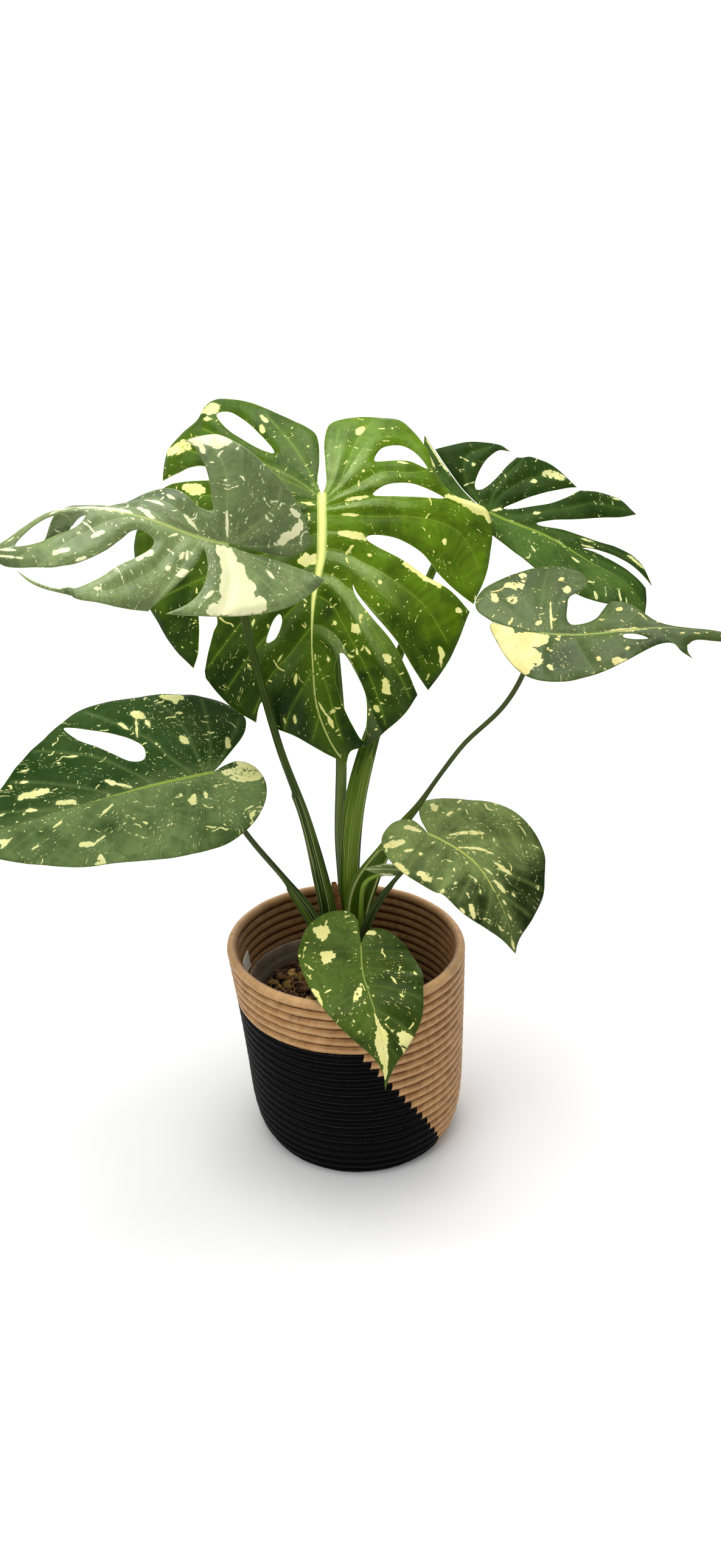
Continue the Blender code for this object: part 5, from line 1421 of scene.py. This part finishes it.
def roots(finish):
    """Fine roots and fibres on the mix."""
    rng = np.random.default_rng(ROOT_SEED)
    edge = POT_INSIDE - ROOT_GAP
    turns = around(ROOT_SIDES)
    thin = ROOT_RADIUS * np.sin(math.pi * np.linspace(0.08, 0.92, ROOT_STEPS + 1)) ** 0.5
    points = []
    while len(points) < ROOTS:
        line = root_line(rng, edge)
        if any(near_stem(x, y, 0) for x, y, _ in line):
            continue
        way = unit(np.gradient(line, axis=0))
        side = unit(np.cross(way, (0, 0, 1.0)))
        up = np.cross(side, way)
        tube = (
            line[:, None, :]
            + side[:, None, :] * (thin[:, None] * np.cos(turns))[:, :, None]
            + up[:, None, :] * (thin[:, None] * np.sin(turns))[:, :, None]
        )
        points.append(tube.reshape(-1, 3))
    tube = tube_faces(ROOT_STEPS + 1, ROOT_SIDES)
    faces = [[i * len(points[0]) + j for j in face] for i in range(ROOTS) for face in tube]
    place(make_mesh("roots", np.concatenate(points), faces, [finish]), "soil", "soil")


def stem(finish):
    """The short thick stem, with the scars of old leaves as low rings."""
    turns = around(STEM_SIDES)
    points = []
    for share in np.arange(STEM_ROWS) / (STEM_ROWS - 1):
        height = STEM_BOTTOM + (STEM_TOP - STEM_BOTTOM) * share
        scar = bell(((height * 1000) % 13 - 6.5) / 1.3)
        for cos, sin in zip(np.cos(turns), np.sin(turns)):
            rough = 0.0005 * noise.noise((3 * cos, 3 * sin, height * 220))
            radius = STEM_RADIUS - 0.0006 + 0.0007 * scar + rough
            radius *= 1 - 0.14 * smoothstep(0.93, 1.0, share)
            points.append((STEM_CENTRE[0] + radius * cos, STEM_CENTRE[1] + radius * sin, height))
    obj = make_mesh("short_stem", points, tube_faces(STEM_ROWS, STEM_SIDES, flipped=True), [finish])
    place(obj, "stem", "stem")


def tag(finish):
    """A blank strip of cloth, slightly curled, on the inside of the basket."""
    width, thickness, height = TAG_SIZE
    columns, rows = TAG_GRID
    wall = basket_radius(TAG_MIDDLE)[0] - BASKET_WALL - TAG_GAP - thickness
    points = []
    for face in (1, -1):
        for row in range(rows + 1):
            z = TAG_MIDDLE + height * (row / rows - 0.5)
            hollow = basket_radius(z)[0] - basket_radius(TAG_MIDDLE)[0]
            for column in range(columns + 1):
                border = min(column, columns - column, row, rows - row)
                curl = 0.0006 * math.sin(7 * column / columns) * (1 - row / rows)
                puff = thickness * (0.5 if border else 0.25) + (0.00015 if border in (2, 3) else 0)
                radius = wall - face * puff - curl + hollow
                turn = TAG_ANGLE - width * (column / columns - 0.5) / wall
                points.append((radius * math.cos(turn) - float(lean_at(z)), radius * math.sin(turn), z))
    step = columns + 1
    layer = step * (rows + 1)
    i = (np.arange(rows)[:, None] * step + np.arange(columns)).ravel()
    front = np.stack([i, i + 1, i + step + 1, i + step], axis=1)
    loop = [*range(columns), *range(columns, layer - 1, step), *range(layer - 1, layer - step, -1)]
    loop += range(layer - step, 0, -step)
    rim = [(after, here, layer + here, layer + after) for here, after in zip(loop, loop[1:] + loop[:1])]
    faces = np.concatenate([front, layer + front[:, [0, 3, 2, 1]], rim])
    place(make_mesh("cloth_tag", points, faces, [finish]), "tag", "tag")


def tone(red, green, blue):
    """A colour given as it looks on screen, from 0 to 255, as the shader's own linear one."""
    linear = [((c / 255 + 0.055) / 1.055) ** 2.4 if c > 10 else c / 255 / 12.92 for c in (red, green, blue)]
    return (*linear, 1.0)


class Finish:
    """A material built from nodes, with short calls for the usual ones."""

    def __init__(self, name, roughness, specular):
        self.material = bpy.data.materials.new(name)
        self.material.use_nodes = True
        self.tree = self.material.node_tree
        self.shader = self.tree.nodes["Principled BSDF"]
        self.shader.inputs["Roughness"].default_value = roughness
        self.shader.inputs["Specular IOR Level"].default_value = specular

    def node(self, kind, inputs, **settings):
        """The outputs of a new node, whose inputs are plain values or other nodes' outputs."""
        made = self.tree.nodes.new(kind)
        for key, value in settings.items():
            setattr(made, key, value)
        for key, value in inputs.items():
            if isinstance(value, bpy.types.NodeSocket):
                self.tree.links.new(value, made.inputs[key])
            else:
                made.inputs[key].default_value = value
        return made.outputs

    def value(self, name):
        return self.node("ShaderNodeAttribute", {}, attribute_name=name)["Fac"]

    def vector(self, name):
        return self.node("ShaderNodeAttribute", {}, attribute_name=name)["Vector"]

    def part(self, name, index):
        return self.node("ShaderNodeSeparateXYZ", {"Vector": self.vector(name)})[index]

    def moved(self, vector, scale, move=(0, 0, 0)):
        return self.node("ShaderNodeMapping", {"Vector": vector, "Scale": scale, "Location": move})["Vector"]

    def object_space(self, scale=(1, 1, 1)):
        return self.moved(self.node("ShaderNodeTexCoord", {})["Object"], scale)

    def noise(self, vector, scale, detail=3.0, roughness=0.55):
        inputs = {"Vector": vector, "Scale": scale, "Detail": detail, "Roughness": roughness}
        return self.node("ShaderNodeTexNoise", inputs)["Fac"]

    def maths(self, operation, *values):
        return self.node("ShaderNodeMath", dict(enumerate(values)), operation=operation)[0]

    def product(self, found, *others):
        for other in others:
            found = self.maths("MULTIPLY", found, other)
        return found

    def total(self, first, *others):
        """The sum of values, each given with what it counts for."""
        found = self.product(*first)
        for value, weight in others:
            found = self.maths("MULTIPLY_ADD", value, weight, found)
        return found

    def ramp(self, value, low, high, to_low=0.0, to_high=1.0):
        inputs = {"Value": value, "From Min": low, "From Max": high, "To Min": to_low, "To Max": to_high}
        return self.node("ShaderNodeMapRange", inputs, interpolation_type="SMOOTHSTEP")["Result"]

    def mix(self, share, first, second):
        return self.node("ShaderNodeMix", {0: share, 6: first, 7: second}, data_type="RGBA")[2]

    def layers(self, colour, *coats):
        """The colour under coats, each given as its own colour and how much of it shows."""
        for coat, share in coats:
            colour = self.mix(share, colour, coat)
        return colour

    def stirred(self, vector, scale, reach):
        """The vector pushed about by soft noise, so that a pattern in it keeps no rows."""
        push = self.node("ShaderNodeTexNoise", {"Vector": self.vector("flat"), "Scale": scale, "Detail": 1.0})
        push = self.moved(push["Color"], (reach, reach, 0.0), (-reach / 2, -reach / 2, 0.0))
        return self.node("ShaderNodeVectorMath", {0: vector, 1: push}, operation="ADD")[0]

    def dots(self, vector, share, sizes, wobble):
        """Spots in the random cells of a vector: about that share of the cells has one."""
        cells = self.node("ShaderNodeTexVoronoi", {"Vector": vector, "Scale": 1.0})
        chance = self.node("ShaderNodeSeparateColor", {"Color": cells["Color"]})
        size = self.ramp(chance[1], 0.0, 1.0, *sizes)
        away = self.maths("SUBTRACT", self.maths("ADD", cells["Distance"], wobble), size)
        return self.product(self.ramp(away, -0.04, 0.03, 1.0, 0.0), self.maths("LESS_THAN", chance[0], share))

    def give(self, socket, value):
        self.tree.links.new(value, self.shader.inputs[socket])

    def paint(self, colour, roughness, relief, depth, strength):
        """Gives the shader its colour, roughness and relief, and returns the material."""
        bump = self.node("ShaderNodeBump", {"Height": relief, "Distance": depth, "Strength": strength})
        self.give("Base Color", colour)
        self.give("Roughness", roughness)
        self.give("Normal", bump["Normal"])
        return self.material


class LeafFinish(Finish):
    """Green with cream strokes, dashes and specks along the veins, and a duller underside."""

    def __init__(self, letter, seed):
        colours, sizes = LEAF_LOOKS[letter][:5], LEAF_LOOKS[letter][5:]
        self.deep, self.light, self.rib, self.vein, self.cream = [tone(*colour) for colour in colours]
        self.flecks, self.gloss, self.rib_half, shine, *self.shading = sizes
        super().__init__("leaf_" + letter + "_finish", self.gloss, shine)
        self.move = (seed * 3.1, seed * 1.7, seed * 2.3)
        self.flat = self.moved(self.vector("flat"), (1, 1, 1), (seed * 131.0, seed * 57.0, 0))
        self.streak = self.along_veins((0.045, 0.11, 0.05), 5.0, 0.62)
        self.fine_streak = self.along_veins((0.14, 0.60, 0.05), 4.0, 0.6)

    def along_veins(self, scale, detail, roughness):
        return self.noise(self.moved(self.vector("flow"), scale, self.move), 1.0, detail, roughness)

    def green(self):
        """Clouds and streaks of green, with painted highlights beside the veins, and painted shade towards
        the tip and on one half.
        """
        painted_half_shade, tip_shade_at, fold_highlight_share = self.shading
        along = self.value("along")
        rib_away = self.value("rib")
        vein_away = self.value("vein")
        across = self.part("flow", 2)
        cloud = self.noise(self.flat, 0.018, 2.0, 0.5)
        speckle = self.noise(self.flat, 1.1, 3.0, 0.65)
        # Random clouds of tone, with painted light near the base and painted shade towards the tip.
        cloud_and_tip_shade = self.maths("ADD", cloud, self.ramp(along, 0.0, tip_shade_at, 0.14, -0.10))
        # A painted highlight beside each vein, fading towards the next one, strongest near the midrib and on
        # the -x half.
        painted_fold_highlight = self.product(
            self.ramp(self.maths("FRACT", self.value("order")), 0.04, 0.60, fold_highlight_share, 0.0),
            self.ramp(rib_away, 20.0, 120.0, 1.0, 0.0),
            self.ramp(across, -20.0, 20.0, 1.0, 0.3),
            self.ramp(cloud, 0.30, 0.60, 0.35, 1.0),
        )
        return self.layers(
            self.deep,
            (self.light, self.ramp(cloud_and_tip_shade, 0.24, 0.80)),
            (tone(*FOLD_SHEEN), painted_fold_highlight),
            (self.light, self.ramp(self.streak, 0.42, 0.72, 0.0, 0.40)),
            (self.deep, self.ramp(self.fine_streak, 0.40, 0.70, 0.0, 0.36)),
            (self.light, self.ramp(speckle, 0.48, 0.72, 0.0, 0.28)),
            # Painted shade towards the tip.
            (self.deep, self.ramp(along, tip_shade_at * 0.5, tip_shade_at * 1.2, 0.0, 0.66)),
            # Painted shade over one half of the blade.
            (self.deep, self.ramp(across, -20.0, 20.0, max(-painted_half_shade, 0.0), max(painted_half_shade, 0.0))),
            (self.light, self.ramp(rib_away, 2.0, 22.0, 0.32, 0.0)),
            (self.light, self.ramp(vein_away, 0.5, 5.0, 0.22, 0.0)),
            (self.vein, self.ramp(vein_away, 0.15, 0.9, 0.46, 0.0)),
        )

    def flecked(self, green):
        """The green under cream dust, specks and dashes, which are thickest where it is mottled."""
        density = self.ramp(self.noise(self.flat, 0.030, 3.0, 0.6), 0.38, 0.66, -0.04, 0.12)
        density = self.maths("ADD", density, self.ramp(self.value("mottle"), -8.0, 3.0, 0.0, 0.25))
        wobble = self.maths("MULTIPLY_ADD", self.noise(self.flat, 0.55, 2.0), 0.34, -0.17)
        stirred = self.stirred(self.vector("flow"), 0.055, 17.0)

        def dots(scale, share, sizes):
            share = self.maths("ADD", density, share * self.flecks)
            return self.dots(self.moved(stirred, scale, self.move), share, sizes, wobble)

        dust = dots((0.31, 0.46, 0.05), 0.15, (0.05, 0.28))
        specks = dots((0.17, 0.28, 0.05), 0.24, (0.05, 0.28))
        dashes = dots((0.075, 0.18, 0.05), 0.06, (0.02, 0.19))
        in_groups = self.ramp(self.noise(self.flat, 0.11, 1.0), 0.44, 0.50)
        return self.layers(
            green,
            (self.cream, self.product(dust, 0.8)),
            (self.cream, self.product(specks, 0.95)),
            (self.cream, self.product(dashes, in_groups, 0.95)),
        )

    def patched(self, coloured, green):
        """The cream patches with rough edges and a soft halo, marbled with green where mottled."""
        bold = self.value("bold")
        lobes = self.maths("SUBTRACT", self.noise(self.flat, 0.15, 2.0, 0.55), 0.5)
        drawn = self.maths("SUBTRACT", self.along_veins((0.07, 0.14, 0.05), 2.0, 0.5), 0.5)
        rough_edge = self.total((lobes, 13.0), (drawn, 9.0))
        rough_edge = self.product(rough_edge, self.ramp(bold, 8.0, 11.0, 1.0, 0.55))
        fuller = self.maths("ADD", self.value("patch"), self.ramp(bold, 1.5, 9.0, 0.2, 2.0))
        shape = self.maths("MULTIPLY_ADD", rough_edge, self.ramp(bold, 1.0, 7.0, 0.26, 0.90), fuller)
        marbled = self.product(
            self.ramp(self.value("mottle"), -1.0, 5.0),
            self.ramp(self.noise(self.flat, 0.24, 3.0, 0.6), 0.54, 0.60),
        )
        pale = self.layers(
            self.cream,
            (tone(*PALE_CREAM), self.ramp(self.noise(self.flat, 0.05, 3.0), 0.35, 0.70, 0.0, 0.4)),
            (green, marbled),
        )
        return self.layers(
            coloured,
            (self.light, self.ramp(shape, -4.0, 0.2, 0.0, 0.25)),
            (pale, self.ramp(shape, -0.15, 0.35)),
        )

    def ribbed(self, coloured):
        """The colours under a thin pale margin and the midrib, which narrows towards the tip."""
        along = self.value("along")
        rib_away = self.value("rib")
        margin = self.maths("MULTIPLY_ADD", self.noise(self.flat, 0.05, 3.0), 1.4, self.value("margin"))
        rib_width = self.ramp(along, 50.0, 175.0, self.rib_half, self.rib_half * 0.17)
        rib_share = self.ramp(self.maths("SUBTRACT", rib_away, rib_width), -0.5, 0.5, 0.92, 0.0)
        rib_edge = self.ramp(self.maths("DIVIDE", rib_away, rib_width), 0.25, 0.9, 0.0, 0.55)
        return self.layers(
            coloured,
            (self.vein, self.ramp(margin, 0.9, 1.7, 0.65, 0.0)),
            (
                self.mix(rib_edge, self.rib, self.light),
                self.product(rib_share, self.ramp(along, 110.0, 200.0, 1.0, 0.6)),
            ),
        )

    def made(self):
        green = self.green()
        coloured = self.ribbed(self.patched(self.flecked(green), green))
        dull = self.mix(0.5, coloured, tone(*UNDERSIDE))
        coloured = self.mix(self.value("under"), coloured, dull)
        sheen = self.total((self.noise(self.flat, 0.24, 2.5, 0.5), 0.5), (self.streak, 0.5))
        relief = self.total(
            (self.fine_streak, 0.30),
            (self.ramp(self.value("vein"), 0.0, 1.4), 0.5),
            (self.noise(self.flat, 1.3, 2.0), 0.10),
            (self.noise(self.flat, 0.055, 2.0, 0.5), 2.4),
        )
        roughness = self.ramp(sheen, 0.3, 0.7, self.gloss - 0.05, self.gloss + 0.09)
        return self.paint(coloured, roughness, relief, 0.0005, 0.5)


def stalk_finish(letter, seed):
    """Green with long lines, and a sheath with its own channel, pale margins and dry outer edge."""
    deep, light, pale, channel, left, right, edge = [tone(*colour) for colour in STALK_LOOKS[letter]]
    made = Finish("stalk_" + letter + "_finish", 0.40, 0.14)
    mark = made.value("sheath")
    height = made.part("stalk", 2)
    space = made.object_space()
    cloud = made.noise(space, 16.0 + seed, 3.0)
    streak = made.noise(made.moved(made.vector("stalk"), (1.3, 0.004, 0.0)), 1.6, 3.0, 0.55)
    fine = made.noise(made.moved(made.vector("stalk"), (6.0, 0.004, 0.0)), 1.4, 2.0, 0.5)
    coats = [
        (light, made.ramp(cloud, 0.38, 0.66, 0.0, 0.5)),
        (light, made.ramp(streak, 0.40, 0.60, 0.0, 0.7)),
        (deep, made.ramp(fine, 0.34, 0.54, 0.34, 0.0)),
    ]
    if letter in THIN_FROM:
        thin_from = THIN_FROM[letter]
        coats.append((tone(*THIN_STALK), made.ramp(height, thin_from, thin_from + 70.0, 0.0, 0.75)))
    outer = made.product(
        made.ramp(mark, 2.2, 3.0),
        made.ramp(mark, 4.6, 5.2, 1.0, 0.0),
        made.ramp(height, 420.0, 480.0, 0.8, 0.0),
    )
    lines = made.product(made.ramp(fine, 0.60, 0.66, 0.0, 0.60), made.ramp(height, 380.0, 620.0, 1.0, 0.15))
    coats += [
        (channel, made.ramp(made.maths("ABSOLUTE", mark), 0.72, 0.98, 0.8, 0.0)),
        (edge, outer),
        (pale, lines),
    ]
    for side, margin in ((-1.0, left), (1.0, right)):
        away = made.maths("ABSOLUTE", made.maths("SUBTRACT", mark, side))
        coats.append((margin, made.ramp(away, 0.03, 0.13, 0.75, 0.0)))
    relief = made.total((made.noise(space, 500.0), 0.15), (fine, 0.8))
    return made.paint(made.layers(deep, *coats), made.ramp(streak, 0.3, 0.7, 0.34, 0.50), relief, 0.0005, 0.5)


def raffia_finish(name):
    """Flat strips wound round a coil, with fibres along them, painted shade in the grooves, painted
    highlights on the coils and a few pale scratches.
    """
    *colours, rough, specular, scratches = RAFFIA[name]
    deep, middle, light, inner, painted_glint_and_scratch = [tone(*colour) for colour in colours]
    made = Finish(name, rough, specular)
    fibres = made.noise(made.moved(made.vector("wrap"), (1.5, 0.10, 7.0)), 1.0, 4.0, 0.6)
    broad = made.noise(made.moved(made.vector("wrap"), (0.05, 0.06, 3.0)), 1.0, 3.0, 0.6)
    worn = made.noise(made.moved(made.vector("wrap"), (0.35, 0.5, 5.0)), 1.0, 5.0, 0.7)
    groove = made.value("groove")
    across_strip = made.maths("FRACT", made.product(made.part("wrap", 0), MM / WRAP_WIDTH))
    from_middle = made.maths("ABSOLUTE", made.maths("SUBTRACT", across_strip, 0.5))
    joint = made.product(made.ramp(from_middle, 0.40, 0.49, 0.0, 0.45), made.ramp(worn, 0.42, 0.60))
    # A painted highlight along each coil's crest, broken up by wear and scaled with the scratches.
    painted_crest_highlight = made.product(
        made.ramp(made.value("painted_crest_highlight"), 0.20, 0.95),
        made.ramp(worn, 0.38, 0.62, 0.20, 1.0),
        0.6 * scratches,
    )
    colour = made.layers(
        middle,
        (light, made.ramp(made.value("tint"), 0.0, 1.0, 0.0, 0.30)),
        (deep, made.ramp(broad, 0.40, 0.68, 0.0, 0.40)),
        (deep, made.ramp(fibres, 0.30, 0.55, 0.26, 0.0)),
        (light, made.ramp(fibres, 0.58, 0.76, 0.0, 0.34)),
        # Painted light across each coil's middle.
        (light, made.ramp(groove, 0.0, 0.5, 0.35, 0.0)),
        (deep, joint),
        # Painted shade in the hollows between coils.
        (deep, made.ramp(groove, 0.74, 0.96, 0.0, 0.92)),
        (painted_glint_and_scratch, painted_crest_highlight),
        # Pale scratches, in the tone of the painted glints.
        (painted_glint_and_scratch, made.ramp(worn, 0.70 - 0.04 * scratches, 0.78, 0.0, 0.6 * scratches)),
        (inner, made.product(made.value("inner"), 0.55)),
    )
    return made.paint(colour, made.ramp(fibres, 0.3, 0.7, rough + 0.08, rough - 0.06), fibres, 0.0004, 0.5)


def earthy_finish(name):
    """A rough finish in three tones, with large and small grain."""
    *colours, scale, rough = EARTHY[name]
    deep, middle, light = [tone(*colour) for colour in colours]
    made = Finish(name + "_finish", rough, 0.2)
    space = made.object_space()
    big = made.noise(space, scale, 4.0, 0.6)
    small = made.noise(space, scale * 5, 4.0, 0.65)
    colour = made.layers(
        deep,
        (middle, made.ramp(big, 0.38, 0.64)),
        (light, made.ramp(small, 0.52, 0.70, 0.0, 0.75)),
    )
    roughness = made.ramp(small, 0.3, 0.7, rough - 0.12, min(rough + 0.03, 1.0))
    return made.paint(colour, roughness, made.total((small, 0.6), (big, 1.0)), 0.0012, 0.9)


def chip_finish():
    """Bark chips: each one its own brown, with grain and paler worn flecks."""
    made = Finish("bark", 0.85, 0.3)
    tint = made.value("tint")
    grain = made.noise(made.object_space((1.0, 0.3, 1.0)), 330.0, 4.0, 0.65)
    colour = made.layers(
        tone(34, 18, 6),
        (tone(92, 58, 24), made.ramp(tint, 0.1, 0.7)),
        (tone(170, 130, 72), made.ramp(tint, 0.70, 0.90)),
        (tone(36, 20, 8), made.ramp(grain, 0.50, 0.70, 0.0, 0.65)),
        (tone(176, 140, 100), made.ramp(made.noise(made.object_space(), 700.0), 0.58, 0.72, 0.0, 0.5)),
    )
    return made.paint(colour, made.ramp(grain, 0.3, 0.7, 0.74, 0.95), grain, 0.0009, 0.9)


def cloth_finish():
    """Off-white cloth with a fine weave."""
    made = Finish("tag_cloth", 0.9, 0.2)
    space = made.object_space()
    inputs = {"Vector": space, "Scale": 900.0, "Distortion": 0.6}
    waves = [made.node("ShaderNodeTexWave", inputs, bands_direction=way)["Fac"] for way in "ZY"]
    weave = made.product(*waves)
    cloud = made.noise(space, 90.0, 3.0)
    colour = made.layers(
        tone(250, 246, 236),
        (tone(226, 218, 202), made.ramp(cloud, 0.35, 0.7)),
        (tone(178, 166, 146), made.ramp(weave, 0.1, 0.8, 0.25, 0.0)),
    )
    return made.paint(colour, made.ramp(cloud, 0.3, 0.7, 0.86, 0.96), weave, 0.0003, 0.6)


def plastic_finish():
    """Matt recycled plastic with faint turned lines and dust from the mix."""
    made = Finish("pot_plastic", 0.5, 0.45)
    space = made.object_space()
    cloud = made.noise(space, 26.0, 4.0)
    dust = made.noise(space, 160.0, 5.0, 0.65)
    lines = made.noise(made.object_space((0.05, 0.05, 1.0)), 900.0, 2.0)
    colour = made.layers(
        tone(102, 88, 74),
        (tone(128, 112, 94), made.ramp(cloud, 0.35, 0.68)),
        (tone(84, 70, 56), made.ramp(lines, 0.45, 0.62, 0.0, 0.5)),
        (tone(80, 60, 42), made.ramp(dust, 0.56, 0.74, 0.0, 0.5)),
    )
    relief = made.maths("MULTIPLY_ADD", lines, 0.5, dust)
    return made.paint(colour, made.ramp(dust, 0.35, 0.7, 0.44, 0.72), relief, 0.0003, 0.4)


def floor():
    """A pale floor that turns up behind."""
    made = Finish("studio_floor", 0.7, 0.2)
    cloud = made.noise(made.object_space(), 1.4, 2.0)
    made.give("Base Color", made.mix(cloud, (0.86, 0.86, 0.86, 1.0), (0.90, 0.90, 0.90, 1.0)))
    points = [(x, y, z) for y, z in FLOOR_SECTION for x in (-FLOOR_HALF, FLOOR_HALF)]
    faces = [[2 * i, 2 * i + 1, 2 * i + 3, 2 * i + 2] for i in range(len(FLOOR_SECTION) - 1)]
    make_mesh("floor", points, faces, [made.material])


def lamp(name, where, aim, size, power):
    light = bpy.data.lights.new(name, "AREA")
    light.energy = power
    light.size = size
    obj = bpy.data.objects.new(name, light)
    obj.location = where
    obj.rotation_euler = (Vector(aim) - Vector(where)).to_track_quat("-Z", "Y").to_euler()
    bpy.context.scene.collection.objects.link(obj)


def studio():
    """The floor, a white world, soft lights and the camera."""
    floor()
    world = bpy.data.worlds.new("studio")
    world.use_nodes = True
    background = world.node_tree.nodes["Background"]
    background.inputs["Color"].default_value = (1.0, 1.0, 1.0, 1.0)
    background.inputs["Strength"].default_value = WORLD_STRENGTH
    bpy.context.scene.world = world
    bpy.context.scene.view_settings.view_transform = "Standard"
    for name, lamp_values in LAMPS.items():
        lamp(name, *lamp_values)
    camera = bpy.data.cameras.new("camera")
    camera.sensor_fit = "AUTO"
    camera.sensor_width = SENSOR_WIDTH
    camera.lens = CAMERA_FOCUS / PHOTO_HEIGHT * SENSOR_WIDTH
    camera.clip_start = 0.05
    obj = bpy.data.objects.new("camera", camera)
    obj.location = CAMERA_PLACE
    obj.rotation_euler = (math.radians(90 - CAMERA_DOWN), 0, 0)
    bpy.context.scene.collection.objects.link(obj)
    bpy.context.scene.camera = obj


def main():
    studio()
    for i, letter in enumerate(STATIONS):
        blade(letter, LeafFinish(letter, i + 1).made())
        petiole(letter, stalk_finish(letter, i))
    papery_sheath(earthy_finish("dry_sheath"))
    stem(earthy_finish("stem"))
    basket(raffia_finish("tan_raffia"), raffia_finish("black_raffia"))
    nursery_pot(plastic_finish())
    soil(earthy_finish("mix"))
    scattered("bark_chips", chip_finish())
    scattered("small_crumbs", chip_finish())
    scattered("perlite", earthy_finish("perlite"))
    scattered("moss", earthy_finish("moss"), MOSS_RIGHT)
    roots(earthy_finish("root"))
    tag(cloth_finish())


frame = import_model()
main()
